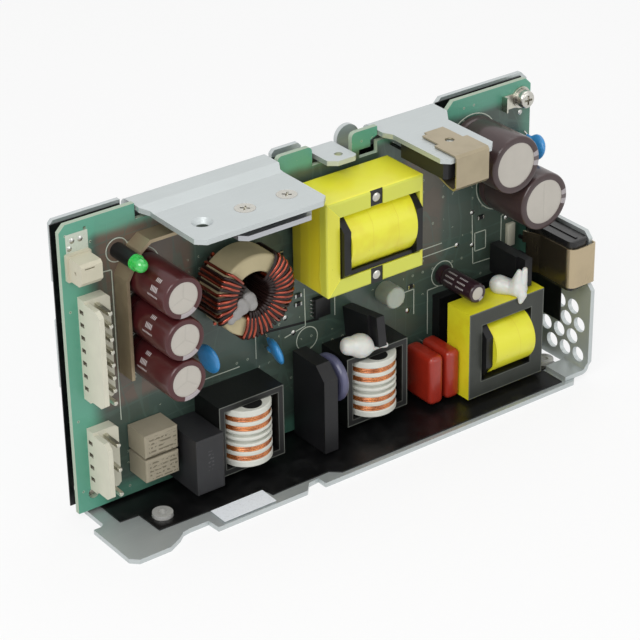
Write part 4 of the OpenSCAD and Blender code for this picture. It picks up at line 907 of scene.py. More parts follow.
class Mould:
    """A mesh that is shaped in millimetres of the board frame."""

    def __init__(self) -> None:
        """Starts with nothing."""
        self.mesh = bmesh.new()

    def cube(self, low: Point, high: Point) -> list[bmesh.types.BMVert]:
        """Adds a sharp block.

        Args:
            low: Its lowest corner.
            high: Its highest corner.

        Returns:
            Its vertices.
        """
        middle = [(a + b) / 2 for a, b in zip(low, high)]
        size = [b - a for a, b in zip(low, high)]
        matrix = Matrix.Translation(middle) @ Matrix.Diagonal((*size, 1.0))
        return bmesh.ops.create_cube(self.mesh, size=1.0, matrix=matrix)["verts"]

    def block(self, low: Point, high: Point, bevel: float = 0.0, segments: int = 2) -> None:
        """Adds a block.

        Args:
            low: Its lowest corner.
            high: Its highest corner.
            bevel: Size of its rounded edges.
            segments: Number of facets on each rounded edge.
        """
        made = self.cube(low, high)
        if bevel:
            edges = list({edge for vert in made for edge in vert.link_edges})
            bmesh.ops.bevel(
                self.mesh, geom=edges, offset=bevel, segments=segments, affect="EDGES", profile=0.5, material=-1,
            )

    def rod(self, start: Point, end: Point, radius: float, sides: int = 20, tip: float = -1.0) -> None:
        """Adds a round rod or cone.

        Args:
            start: Middle of its first end.
            end: Middle of its other end.
            radius: Radius at its first end.
            sides: Number of sides.
            tip: Radius at its other end, or less than 0 for the same one.
        """
        a, b = Vector(start), Vector(end)
        way = b - a
        matrix = Matrix.Translation((a + b) / 2) @ way.to_track_quat("Z", "Y").to_matrix().to_4x4()
        bmesh.ops.create_cone(
            self.mesh, cap_ends=True, segments=sides, radius1=radius, radius2=radius if tip < 0 else tip,
            depth=way.length, matrix=matrix,
        )

    def lathe(self, profile: Sequence[Flat], origin: Point, way: Point = (0, 0, 1), steps: int = 48) -> None:
        """Adds a shape turned round an axis.

        Args:
            profile: Points of (radius, height along the axis), from one end to the other.
            origin: Foot of the axis.
            way: Direction of the axis.
            steps: Number of steps round it.
        """
        before = set(self.mesh.verts)
        verts = [self.mesh.verts.new((r, 0.0, z)) for r, z in profile]
        edges = [self.mesh.edges.new(pair) for pair in zip(verts, verts[1:])]
        bmesh.ops.spin(
            self.mesh, geom=verts + edges, cent=(0, 0, 0), axis=(0, 0, 1), angle=math.tau, steps=steps,
            use_merge=True,
        )
        bmesh.ops.remove_doubles(self.mesh, verts=[v for v in self.mesh.verts if v not in before], dist=1e-4)
        matrix = Matrix.Translation(origin) @ Vector(way).to_track_quat("Z", "Y").to_matrix().to_4x4()
        turned = [v for v in self.mesh.verts if v not in before]
        bmesh.ops.transform(self.mesh, matrix=matrix, verts=turned)

    def strip(self, start: Flat, end: Flat, width: float, high: float) -> None:
        """Adds a flat strip on the board.

        Args:
            start: Its first end.
            end: Its other end.
            width: Its width.
            high: Its height off the board.
        """
        a, b = Vector((*start, 0)), Vector((*end, 0))
        way = b - a
        size = Matrix.Diagonal((way.length + width, width, high, 1))
        turn = Matrix.Rotation(math.atan2(way.y, way.x), 4, "Z")
        middle = Matrix.Translation((a + b) / 2 + Vector((0, 0, high / 2 + 0.005)))
        bmesh.ops.create_cube(self.mesh, size=1.0, matrix=middle @ turn @ size)

    def shell(self, low: Flat, high: Flat, reach: Flat, thick: float) -> None:
        """Adds an open square sleeve round the direction off the board.

        Args:
            low: Lower left corner of its outline.
            high: Upper right corner of its outline.
            reach: Its two ends.
            thick: Its thickness, outwards if more than 0 and inwards if less.
        """
        verts = self.cube((*low, reach[0]), (*high, reach[1]))
        faces = list({face for vert in verts for face in vert.link_faces})
        ends = [face for face in faces if abs(face.normal.z) > 0.9]
        bmesh.ops.delete(self.mesh, geom=ends, context="FACES_ONLY")
        walls = [face for face in faces if face.is_valid]
        bmesh.ops.recalc_face_normals(self.mesh, faces=walls)
        bmesh.ops.solidify(self.mesh, geom=walls, thickness=-thick)

    def ball(self, centre: Point, radius: float, flat: float = 1.0) -> None:
        """Adds a ball, flattened off the board on request."""
        matrix = Matrix.Translation(centre) @ Matrix.Diagonal((1, 1, flat, 1))
        bmesh.ops.create_icosphere(self.mesh, subdivisions=3, radius=radius, matrix=matrix)

    def stood(self, name: str) -> bpy.types.Mesh:
        """Stands the shape up in the row frame.

        Args:
            name: The mesh's name.

        Returns:
            The mesh in metres.
        """
        bmesh.ops.transform(self.mesh, matrix=STAND, verts=self.mesh.verts)
        data = bpy.data.meshes.new(name)
        self.mesh.to_mesh(data)
        self.mesh.free()
        return data

    def piece(self, name: str, finish: Finish, replaces: Iterable[str] = (), smooth: float = 35.0) -> None:
        """Makes the shape a finished piece, with the arguments of settle."""
        bmesh.ops.recalc_face_normals(self.mesh, faces=self.mesh.faces)
        settle(self.stood(name), name, finish, replaces, smooth)


def settle(
    data: bpy.types.Mesh, name: str, finish: Finish, replaces: Iterable[str] = (), smooth: float = 35.0,
) -> None:
    """Makes a mesh a finished piece, hangs it on the root body and hides the nodes that it stands for.

    Args:
        data: The mesh in the row frame.
        name: The piece's name.
        finish: Its finish.
        replaces: The nodes that it stands for.
        smooth: Largest angle in degrees between faces that look like one curve.
    """
    piece = bpy.data.objects.new(name, data)
    bpy.context.scene.collection.objects.link(piece)
    data.shade_smooth()
    data.set_sharp_from_angle(angle=math.radians(smooth))
    data.materials.clear()
    data.materials.append(finish.material())
    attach(piece, "root")
    if replaces:
        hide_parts(*replaces)
    LOG.info("%s: %d faces", name, len(data.polygons))


def evaluated(holder: bpy.types.Object, name: str) -> bpy.types.Mesh:
    """Turns an object with its modifiers or bevel into a plain mesh, and removes it.

    Args:
        holder: The object, in the scene.
        name: The mesh's name.

    Returns:
        The mesh.
    """
    ready = holder.evaluated_get(bpy.context.evaluated_depsgraph_get())
    data = bpy.data.meshes.new_from_object(ready)
    bpy.data.objects.remove(holder)
    data.name = name
    return data


def melt(
    data: bpy.types.Mesh, name: str, finish: Finish, replaces: Iterable[str], grain: float, rounds: int,
) -> None:
    """Melts the bodies of a mesh into one smooth skin.

    Args:
        data: The mesh in the row frame.
        name: The piece's name.
        finish: Its finish.
        replaces: The nodes that it stands for.
        grain: Size in millimetres of the skin's facets.
        rounds: How often the skin is smoothed.
    """
    whole = bmesh.new()
    whole.from_mesh(data)
    bmesh.ops.remove_doubles(whole, verts=whole.verts, dist=1e-6)
    whole.to_mesh(data)
    whole.free()
    holder = bpy.data.objects.new(name + "_lumps", data)
    bpy.context.scene.collection.objects.link(holder)
    skin = holder.modifiers.new("skin", "REMESH")
    skin.mode, skin.voxel_size = "VOXEL", grain / MM
    soft = holder.modifiers.new("soft", "SMOOTH")
    soft.factor, soft.iterations = 0.5, rounds
    settle(evaluated(holder, name), name, finish, replaces, 180)


def sweep(
    name: str, runs: Sequence[Sequence[Point]], radius: float, finish: Finish, replaces: Iterable[str], sides: int,
) -> None:
    """Makes round wires along runs of points.

    Args:
        name: The piece's name.
        runs: The points of each wire in the board frame.
        radius: Radius of the wire.
        finish: Its finish.
        replaces: The nodes that it stands for.
        sides: Bevel resolution of the round section.
    """
    curve = bpy.data.curves.new(name + "_path", "CURVE")
    curve.dimensions = "3D"
    curve.bevel_depth, curve.bevel_resolution = radius / MM, sides
    curve.use_fill_caps = True
    for run in runs:
        spline = curve.splines.new("POLY")
        spline.points.add(len(run) - 1)
        for target, point in zip(spline.points, run):
            target.co = (*(STAND @ Vector(point)), 1.0)
    holder = bpy.data.objects.new(name + "_path", curve)
    bpy.context.scene.collection.objects.link(holder)
    settle(evaluated(holder, name), name, finish, replaces, 60)


# Finishes of this supply
SHEET = BrushedSheet("aluminium_sheet", rgb(194, 200, 200), 0.44, metallic=0.62)
BAR = BrushedSheet("aluminium_bar", rgb(186, 188, 192), 0.38)
PLATED = PlatedMetal("plated_steel", rgb(200, 198, 190), 0.28)
NUT = PlatedMetal("plated_steel", rgb(206, 206, 202), 0.42, metallic=0.45)
TINNED = PlatedMetal("tinned_metal", rgb(205, 203, 190), 0.3)
SOLDER = PlatedMetal("tinned_metal", rgb(190, 190, 186), 0.25)
NICKEL = PlatedMetal("nickel_spring", rgb(170, 158, 133), 0.34, metallic=0.8, patch=6.0, dull=0.3)
# The side clip's bronze carries a painted dark reflection on its left face.
BRONZE = PlatedMetal("bronze_spring", rgb(184, 168, 138), 0.24, metallic=0.8, patch=8.0, dull=0.3, shadow=0.9)
BRASS = PlatedMetal("brass_strip", rgb(162, 147, 120), 0.36, metallic=0.55, patch=5.0, dull=0.4)
FILM = BlackFilm("black_film", rgb(13, 13, 14), 0.3)
BOARD = BoardMask("board_laminate", rgb(67, 86, 77), 0.34)
INK = PrintedInk("board_laminate", rgb(190, 198, 184), 0.5)
PAPER = PrintedInk("white_nylon", rgb(238, 243, 248), 0.4)
EPOXY = Moulding("black_epoxy", rgb(21, 21, 23), 0.42)
BOOT = Moulding("black_rubber", rgb(20, 20, 21), 0.28, coat=0.25)
BLACK = Moulding("black_plastic", rgb(12, 12, 13), 0.4)
IVORY = Moulding("ivory_nylon", rgb(206, 204, 186), 0.45, mottle=0.05)
PLUG = Moulding("ivory_nylon", rgb(196, 191, 170), 0.45, mottle=0.05)
# The header nylons carry painted shade in their slots.
OUTPUT_NYLON = SlottedNylon(IVORY.slot, IVORY.colour, 0.45, mottle=0.05, first=38.95, pitch=3.9525, slots=7)
MAINS_NYLON = SlottedNylon(IVORY.slot, IVORY.colour, 0.45, mottle=0.05, first=9.65, pitch=3.948, slots=4)
WHITE = Moulding("white_nylon", rgb(214, 215, 206), 0.42, mottle=0.06)
CREAM = Moulding("cream_coating", rgb(184, 172, 136), 0.5, mottle=0.08)
ADHESIVE = Moulding("grey_adhesive", rgb(150, 148, 146), 0.5)
GREY_CASE = MarkedCase(
    "grey_case", rgb(41, 41, 43), 0.45, low=(34.0, 11.6), high=(35.9, 18.0), mark=rgb(74, 74, 76),
)
TAUPE_CASE = MarkedCase(
    "taupe_case", rgb(152, 144, 125), 0.5, mottle=0.08, low=(18.4, 11.7), high=(27.6, 25.4), mark=rgb(92, 84, 66),
)
RED = DippedCoating("red_coating", rgb(164, 44, 28), 0.3)
BLUE = DippedCoating("blue_coating", rgb(62, 152, 218), 0.3, lump=1.6)
SLATE = DippedCoating("slate_coating", rgb(92, 93, 122), 0.4)
LENS = TintedLens("green_lens", rgb(50, 190, 80), 0.15)
MAIN_TAPE = FramedTape("yellow_tape", rgb(234, 230, 54), 0.32)
TAPE = WindingTape("yellow_tape", rgb(224, 221, 46), 0.28)
AUX_TAPE = WindingTape("yellow_tape", rgb(228, 222, 40), 0.34, wrap=Axis.UP, lap=40.0)
BARE_FERRITE = FerriteBody("ferrite", rgb(30, 31, 30), 0.5)
COPPER = Enamel("copper_enamel", rgb(160, 60, 28), 0.19)
# Copper painted dark, as the shade between the wound turns.
SHADED_COPPER = Enamel("copper_enamel", rgb(34, 13, 9), 0.5, metallic=0.25, coat=0.0)
STRAND = Enamel("copper_wire", rgb(216, 138, 78), 0.28, metallic=0.6)
SILICONE = CuredSilicone("white_silicone", rgb(216, 217, 212), 0.35)
SPACER = CuredSilicone("white_nylon", rgb(176, 184, 172), 0.4)


@dataclass
class Assembly:
    """A sub-assembly, which dresses the nodes that stay and builds the pieces that join them."""

    def dress(self) -> None:
        """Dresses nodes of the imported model, where the sub-assembly keeps any."""

    def build(self) -> None:
        """Builds pieces, where the sub-assembly adds any."""

    @staticmethod
    def coat(finish: Finish, *nodes: str) -> None:
        """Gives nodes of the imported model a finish.

        Args:
            finish: The finish.
            nodes: Names of the nodes.
        """
        for name in nodes:
            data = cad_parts[name].data
            data.materials.clear()
            data.materials.append(finish.material())


@dataclass
class Tray(Assembly):
    """The folded tray, its film, its fasteners and the bare label on its floor."""

    label: tuple[Point, Point] = ((30.9, 1.92, 20.3), (48.8, 1.98, 27.4))

    def dress(self) -> None:
        """Dresses the tray and what is fastened to it."""
        self.coat(SHEET, "chassis")
        self.coat(FILM, "insulating_sheet")
        self.coat(BAR, "clamp_plate")
        self.coat(PLATED, "standoffs", "ground_screw", "spring_washer", "flat_washer", "clamp_screws")
        self.coat(NUT, "clinch_nuts")
        self.coat(TINNED, "ground_lug")
        self.coat(NICKEL, "spring_clip_top")
        # The side clip's finish paints a dark reflection on its left face.
        self.coat(BRONZE, "spring_clip_side")
        self.coat(EPOXY, "rectifiers", "power_switch", "side_device")
        self.coat(BOOT, "device_boot")

    def build(self) -> None:
        """Builds the bare label."""
        label = Mould()
        label.block(*self.label)
        label.piece("blank_label", PAPER)


@dataclass
class Connectors(Assembly):
    """Pin headers, the small plug, the lamp and the bus bar, which all stay."""

    def dress(self) -> None:
        """Dresses the nodes."""
        self.coat(OUTPUT_NYLON, "output_header")
        self.coat(MAINS_NYLON, "mains_header")
        self.coat(PLUG, "signal_header", "signal_plug")
        self.coat(TINNED, "output_pins", "mains_pins")
        self.coat(BLACK, "lamp_tube")
        # The lens's finish paints a faint glow.
        self.coat(LENS, "lamp_lens")
        self.coat(BRASS, "bus_bar")


@dataclass
class Board(Assembly):
    """The circuit board with its plain printed lines, and the parts on it that stay."""

    line: float = 0.28
    high: float = 0.06
    low: float = 0.005
    rings: tuple[tuple[Flat, float], ...] = (
        ((17.6, 80.7), 3.5), ((24.2, 47.3), 6.75), ((24.2, 60.05), 6.75), ((24.2, 72.8), 6.75),
        ((131.4, 37.2), 4.1), ((142.4, 77.3), 9.5), ((153.9, 62.1), 9.5), ((80.3, 32.0), 3.8),
    )
    runs: tuple[tuple[Flat, ...], ...] = (
        ((13.1, 75.5), (15.5, 75.3), (15.6, 28.2)),
        ((130.2, 33.3), (125.7, 33.2), (125.8, 18.3)),
        ((142.9, 53.4), (143.5, 36.7), (151.4, 36.4)),
        ((144.1, 46.9), (148.4, 46.8), (148.5, 40.7), (144.2, 40.7), (144.1, 46.9)),
        ((79.6, 48.6), (79.8, 36.4), (72.4, 35.0)),
        ((110.2, 35.4), (120.4, 35.4), (120.4, 27.0)),
        ((90.6, 36.6), (90.6, 48.6), (96.6, 48.6)),
        ((38.6, 31.0), (56.0, 31.0)),
        ((62.0, 31.6), (62.0, 44.8), (73.0, 44.8)),
        ((35.0, 46.0), (35.0, 56.4), (39.0, 60.0)),
        ((154.6, 36.6), (154.6, 49.8), (161.2, 49.8)),
        ((116.0, 45.0), (136.0, 45.0)), ((116.0, 47.6), (131.0, 47.6)),
    )
    pad: tuple[Flat, Flat] = ((1.9, 84.0), (8.8, 89.7))
    slot: tuple[Flat, Flat] = ((62.0, 39.4), (84.3, 37.2))

    def dress(self) -> None:
        """Dresses the board and the parts that stay as they are."""
        self.coat(BOARD, "circuit_board")
        self.coat(GREY_CASE, "box_capacitor")
        self.coat(TAUPE_CASE, "box_fuses")
        self.coat(SLATE, "thermistor_disc")
        self.coat(EPOXY, "bridge_rectifier", "diode_package_1", "diode_package_2")
        self.coat(SPACER, "nylon_spacer")

    def build(self) -> None:
        """Builds the printed lines, rings and pad, the slot in the board and the silicone's skin."""
        ink, slot = Mould(), Mould()
        for run in self.runs:
            for start, end in zip(run, run[1:]):
                ink.strip(start, end, self.line, self.high)
        for place, radius in self.rings:
            near, far = radius - self.line / 2, radius + self.line / 2
            section = [(near, self.low), (far, self.low), (far, self.high), (near, self.high), (near, self.low)]
            ink.lathe(section, (*place, 0))
        ink.block((*self.pad[0], self.low), (*self.pad[1], self.high))
        ink.piece("printed_lines", INK)
        slot.strip(*self.slot, 0.8, 0.03)
        slot.piece("isolation_slot", BLACK)
        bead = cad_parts["silicone_bead"].data.copy()
        melt(bead, "silicone_bead_skin", SILICONE, ("silicone_bead",), 0.3, 8)


@dataclass
class SmallParts(Assembly):
    """Surface parts and small bodies on the board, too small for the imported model."""

    chip: tuple[Flat, Flat] = ((82.4, 38.4), (87.8, 44.8))
    chip_h: Flat = (0.15, 1.75)
    legs: int = 5
    leg_half: float = 0.2
    leg_t: float = 0.15
    leg_low: float = 0.02
    leg_high: float = 0.7
    upright: tuple[Flat, ...] = (
        (92.2, 45.6), (95.0, 44.8), (36.2, 50.2), (38.8, 52.6), (70.8, 48.4), (151.6, 37.4), (71.6, 57.0),
        (71.6, 62.4), (68.2, 33.8), (113.0, 46.4),
    )
    level: tuple[Flat, ...] = (
        (77.2, 47.4), (77.2, 44.6), (70.6, 44.2), (146.2, 51.8), (119.0, 36.8), (39.6, 33.4), (33.4, 36.6),
    )
    pads: tuple[Flat, ...] = (
        (3.84, 87.6), (6.4, 87.55), (2.9, 85.5), (156.55, 48.5), (142.9, 54.3), (143.1, 43.2), (151.4, 39.4),
        (137.0, 45.0), (110.6, 33.6), (114.8, 33.4), (118.0, 28.8), (72.6, 41.4), (75.4, 35.6), (36.8, 42.4),
        (55.8, 44.6), (60.0, 44.0), (66.0, 44.6), (161.0, 82.4), (159.0, 85.0),
    )
    pad: tuple[Flat, ...] = ((0, 0.01), (0.85, 0.01), (0.8, 0.09), (0.35, 0.28), (0, 0.34))
    strip: tuple[Point, Point] = ((156.3, 38.9, 0.02), (159.3, 46.5, 1.4))

    def leg(self, mould: Mould, side: float, way: int, v: float) -> None:
        """Adds one bent leg of the chip.

        Args:
            mould: The mesh of the legs.
            side: The chip's side that it leaves.
            way: 1 if it points along the board, -1 if back.
            v: Its place up the board.
        """
        near, knee, far = side - 0.1 * way, side + 0.4 * way, side + 0.9 * way
        half = self.leg_t / 2 - 0.005
        for ends, low, high in (
            ((near, knee), self.leg_high, self.leg_high + self.leg_t),
            ((far, knee), self.leg_low, self.leg_low + self.leg_t),
            ((knee - half, knee + half), self.leg_low, self.leg_high + self.leg_t),
        ):
            mould.block((min(ends), v - self.leg_half, low), (max(ends), v + self.leg_half, high))

    def resistor(self, body: Mould, ends: Mould, place: Flat, upright: bool) -> None:
        """Adds one chip resistor with its two end caps.

        Args:
            body: The mesh of the bodies.
            ends: The mesh of the caps.
            place: Its middle.
            upright: Whether it lies up the board.
        """
        def box(mould: Mould, shift: float, half: Flat, low: float, high: float, bevel: float) -> None:
            """Adds a block that lies along the resistor.

            Args:
                mould: The mesh.
                shift: Its place along the resistor.
                half: Half its size along the resistor and across it.
                low: Its foot.
                high: Its top.
                bevel: Size of its rounded edges.
            """
            du, dv = (0, shift) if upright else (shift, 0)
            half_u, half_v = half[::-1] if upright else half
            u, v = place[0] + du, place[1] + dv
            mould.block((u - half_u, v - half_v, low), (u + half_u, v + half_v, high), bevel, 1)

        box(body, 0, (1.0, 0.6), 0.05, 0.55, 0.06)
        for side in (-0.95, 0.95):
            box(ends, side, (0.28, 0.64), 0.01, 0.6, 0.08)

    def build(self) -> None:
        """Builds the chip with its legs, the resistors, the solder joints and the pale strip."""
        body, legs, ends, strip = Mould(), Mould(), Mould(), Mould()
        (left, low), (right, high) = self.chip
        body.block((left, low, self.chip_h[0]), (right, high, self.chip_h[1]), 0.12)
        for i in range(self.legs):
            v = low + (high - low) * (i + 0.5) / self.legs
            self.leg(legs, left, -1, v)
            self.leg(legs, right, 1, v)
        for places, upright in ((self.level, False), (self.upright, True)):
            for place in places:
                self.resistor(body, ends, place, upright)
        for place in self.pads:
            ends.lathe(self.pad, (*place, 0), steps=18)
        body.piece("surface_parts", EPOXY)
        legs.piece("chip_legs", SOLDER)
        ends.piece("solder_joints", SOLDER)
        strip.block(*self.strip, 0.2)
        strip.piece("pale_strip", IVORY)


@dataclass
class Capacitor(Assembly):
    """A round electrolytic capacitor with its sleeve, its can's top and the stripe on it."""

    node: str
    place: Flat
    diameter: float
    height: float
    sleeve: str
    colour: Colour
    stripe: Flat = (-75.0, 27.0)
    bars_h: float = 17.0
    bars: tuple[tuple[float, float, float, float], ...] = ()
    turns: tuple[float, ...] = (85.0, 205.0, 325.0)
    crimp: float = 2.6

    def build(self) -> None:
        """Builds the sleeve and the scored can."""
        r, h, c = self.diameter / 2, self.height, self.crimp
        mouth = r - (0.17 * r + 0.5)
        wall = [
            (r - 1.2, 0.02), (r - 0.5, 0.05), (r - 0.05, 0.5), (r, c - 1.0), (r - 0.22, c - 0.45), (r - 0.4, c),
            (r - 0.22, c + 0.45), (r, c + 1.0), (r, h * 0.5), (r, h - 0.75), (r - 0.1, h - 0.38),
            (r - 0.32, h - 0.1), (r - 0.7, h), (mouth + 0.12, h), (mouth, h - 0.06), (mouth, h - 0.32),
        ]
        can = [
            (0, 0.04), (r - 0.9, 0.04), (r - 0.62, 0.3), (r - 0.62, h - 0.3), (mouth - 0.05, h - 0.26),
            (0, h - 0.24),
        ]
        sleeve = ShrunkSleeve(
            self.sleeve, self.colour, 0.28, self.place, self.stripe, self.bars_h, self.bars,
        )
        # The can's top carries painted shade in its pressed lines.
        plate = ScoredTop("aluminium_sheet", rgb(192, 187, 178), 0.45, self.place, mouth, self.turns)
        for suffix, profile, finish, stands_for in (
            ("sleeve", wall, sleeve, (self.node,)), ("can", can, plate, ()),
        ):
            mould = Mould()
            mould.lathe(profile, (*self.place, 0), steps=64)
            mould.piece(f"{self.node}_{suffix}", finish, stands_for)


@dataclass
class Dipped(Assembly):
    """A dipped disc whose resin runs down on its two leads."""

    node: str
    centre: Point
    axis: Point
    radius: float
    thick: float
    feet: tuple[Flat, Flat]
    lead: float = 0.3
    resin_from: float = 0.42
    resin_short: float = 0.2
    resin_tip: float = 0.45

    def build(self) -> None:
        """Builds the disc with its run of resin, and the bare ends of its leads."""
        body, leads = Mould(), Mould()
        half, angles = self.thick / 2, [math.radians(a) for a in range(15, 180, 15)]
        round_edge = [(self.radius * math.sin(a) ** 0.8, -half * math.cos(a)) for a in angles]
        body.lathe([(0, -half), *round_edge, (0, half)], self.centre, self.axis, 40)
        middle = Vector(self.centre)
        for foot in self.feet:
            base = Vector((*foot, 0))
            start, end = middle.lerp(base, self.resin_from), base.lerp(middle, self.resin_short)
            body.rod(start, end, half * 0.85, 16, self.resin_tip)
            leads.rod((*foot, 0.02), base.lerp(middle, 0.3), self.lead, 12)
        name = f"{self.node}_body"
        melt(body.stood(name), name, BLUE, (self.node,), 0.28, 5)
        leads.piece(f"{self.node}_leads", SOLDER)


@dataclass
class DippedFilms(Assembly):
    """Two dipped film capacitors with well rounded edges."""

    starts: tuple[float, ...] = (114.5, 120.9)
    thick: float = 5.3
    low: Flat = (3.3, 2.7)
    high: Flat = (19.7, 15.7)
    edge: float = 1.7
    lead_pitch: float = 10.0
    lead: float = 0.4

    def build(self) -> None:
        """Builds the bodies and their leads."""
        body, leads = Mould(), Mould()
        middle = (self.low[0] + self.high[0]) / 2
        for start in self.starts:
            body.block((start, *self.low), (start + self.thick, *self.high), self.edge, 7)
            u = start + self.thick / 2
            for v in (middle - self.lead_pitch / 2, middle + self.lead_pitch / 2):
                leads.rod((u, v, 0.02), (u, v, self.low[1] + 0.6), self.lead, 16)
        body.piece("film_capacitor_bodies", RED, ("film_capacitors",), 60)
        leads.piece("film_capacitor_leads", SOLDER)


@dataclass
class ToroidChoke(Assembly):
    """The ring choke: its core stays, and its wire is wound turn by turn."""

    centre: Flat = (53.5, 60.5)
    inner: float = 7.0
    outer: float = 12.4
    height: float = 10.6
    lift: float = 2.5
    wire: float = 1.0
    gap: float = 0.15
    corner: float = 1.2
    turn_gap: float = 0.07
    bulge: float = 0.45
    wander: float = 0.2
    groups: tuple[Flat, ...] = ((124.0, 78.0), (238.0, 180.0))
    glue: tuple[Point, Point] = ((52.4, 59.2, 0.3), (51.6, 58.6, 12.6))
    glue_r: Flat = (3.0, 2.7)
    lumps: tuple[tuple[Point, float, float], ...] = (
        ((51.0, 59.6, 12.9), 2.7, 0.6), ((48.6, 58.6, 14.1), 2.2, 0.5), ((46.4, 57.3, 14.3), 1.8, 0.5),
        ((44.4, 55.9, 14.2), 1.3, 0.6), ((48.0, 60.2, 14.0), 1.5, 0.6), ((51.9, 58.2, 13.5), 1.9, 0.6),
    )

    def dress(self) -> None:
        """Dresses the core."""
        self.coat(CREAM, "toroid_core")

    def loop(self, steps: int) -> list[Flat]:
        """Works out one turn, from the outside down and round, with a slight bulge over the front.

        Args:
            steps: Points on each rounded corner.

        Returns:
            Points of (radius, height).
        """
        off = self.gap + self.wire / 2
        low, high = self.lift - off, self.lift + self.height + off
        near, far, r = self.inner - off, self.outer + off, self.corner
        corners = []
        for x, z, first in (
            (far - r, low + r, 0), (near + r, low + r, -90), (near + r, high - r, 180), (far - r, high - r, 90),
        ):
            angles = [math.radians(first - 90 * i / steps) for i in range(steps + 1)]
            corners.append([(x + r * math.cos(a), z + r * math.sin(a)) for a in angles])
        front = [
            (near + r + (far - near - 2 * r) * k, high + self.bulge * math.sin(math.pi * k))
            for k in (0.25, 0.5, 0.75)
        ]
        return [*corners[0], *corners[1], *corners[2], *front, *corners[3]]

    def runs(self, loop: list[Flat], offset: float) -> list[list[Point]]:
        """Works out both wound runs.

        Args:
            loop: One turn in (radius, height).
            offset: Share of a turn by which the whole run is turned on.

        Returns:
            The points of each run.
        """
        near = self.inner - self.gap - self.wire / 2
        step = 2 * math.degrees(math.asin((self.wire + self.turn_gap) / 2 / near))
        made = []
        for start, span in self.groups:
            run = []
            for i in range(int(span / step) * len(loop)):
                r, z = loop[i % len(loop)]
                turn = offset + i / len(loop)
                out = (r - self.inner) / (self.outer - self.inner)
                angle = math.radians(start + step * (turn + self.wander * out * math.sin(2.1 * turn + start)))
                run.append((self.centre[0] + r * math.cos(angle), self.centre[1] + r * math.sin(angle), z))
            made.append(run)
        return made

    def build(self) -> None:
        """Winds the wire, winds a second layer of turns under it painted dark as the shade between the turns, and
        melts the adhesive.
        """
        half, middle = self.wire / 2, self.lift + self.height / 2
        sweep("toroid_wire", self.runs(self.loop(5), 0.0), half * 0.97, COPPER, ("toroid_winding",), 2)
        # The under turns are painted dark: they stand for the shade between the wound turns.
        under = [(r if r > self.inner + 1 else r - 1.5, middle + (z - middle) * 0.985) for r, z in self.loop(4)]
        sweep("toroid_under_wire", self.runs(under, 0.5), half * 0.9, SHADED_COPPER, (), 1)
        glue = Mould()
        glue.rod(*self.glue, self.glue_r[0], 24, self.glue_r[1])
        for lump in self.lumps:
            glue.ball(*lump)
        melt(glue.stood("toroid_glue"), "toroid_glue", ADHESIVE, ("toroid_adhesive",), 0.3, 5)


@dataclass
class MainTransformer(Assembly):
    """The main transformer: all its nodes stay, with bare ferrite and round marks in the frame's notches."""

    notch: Flat = (89.8, 94.2)
    bars: tuple[Flat, ...] = ((54.35, 59.3), (78.9, 83.75))
    floor_h: float = 18.3
    dot: float = 1.35
    dome: tuple[Flat, ...] = ((0, 0), (1, 0), (1, 0.1), (0.85, 0.26), (0.4, 0.34), (0, 0.36))

    def dress(self) -> None:
        """Dresses the nodes."""
        self.coat(MAIN_TAPE, "main_core")
        self.coat(TAPE, "main_winding")
        self.coat(BLACK, "main_bobbin")

    def build(self) -> None:
        """Builds the bare ferrite in the notches and the round marks on it."""
        bare, dots = Mould(), Mould()
        left, right = self.notch
        for low, high in self.bars:
            bare.block((left + 0.02, low, self.floor_h - 0.05), (right - 0.02, high, self.floor_h + 0.03))
            profile = [(share * self.dot, up) for share, up in self.dome]
            dots.lathe(profile, ((left + right) / 2, (low + high) / 2, self.floor_h), steps=28)
        bare.piece("main_core_bare_ferrite", BARE_FERRITE)
        dots.piece("main_core_dots", PLATED)


@dataclass
class AuxTransformer(Assembly):
    """The auxiliary transformer: tape goes round its rim, and a dark lining fills its window."""

    low: Flat = (126.3, 3.4)
    high: Flat = (155.5, 32.4)
    bar: float = 4.9
    reach: Flat = (9.0, 19.5)
    tape_t: float = 0.1
    lining_t: float = 0.2

    def dress(self) -> None:
        """Dresses the nodes."""
        # The core's ferrite carries a painted highlight along its chamfers.
        self.coat(FerriteBody("ferrite", rgb(54, 57, 52), 0.45, self.low, self.high, self.bar), "aux_core")
        self.coat(TAPE, "aux_winding")
        self.coat(BLACK, "aux_bobbin")

    def build(self) -> None:
        """Builds the tape, the lining and the silicone's skin."""
        tape, lining = Mould(), Mould()
        back, front = self.reach
        tape.shell(self.low, self.high, (back + 0.15, front - 0.12), self.tape_t)
        tape.piece("aux_rim_tape", AUX_TAPE)
        low = tuple(a + self.bar - 0.02 for a in self.low)
        high = tuple(a - self.bar + 0.02 for a in self.high)
        lining.shell(low, high, (back + 0.1, front - 0.25), -self.lining_t)
        lining.piece("aux_window_lining", BLACK)
        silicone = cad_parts["aux_adhesive"].data.copy()
        melt(silicone, "aux_silicone", SILICONE, ("aux_adhesive",), 0.25, 5)


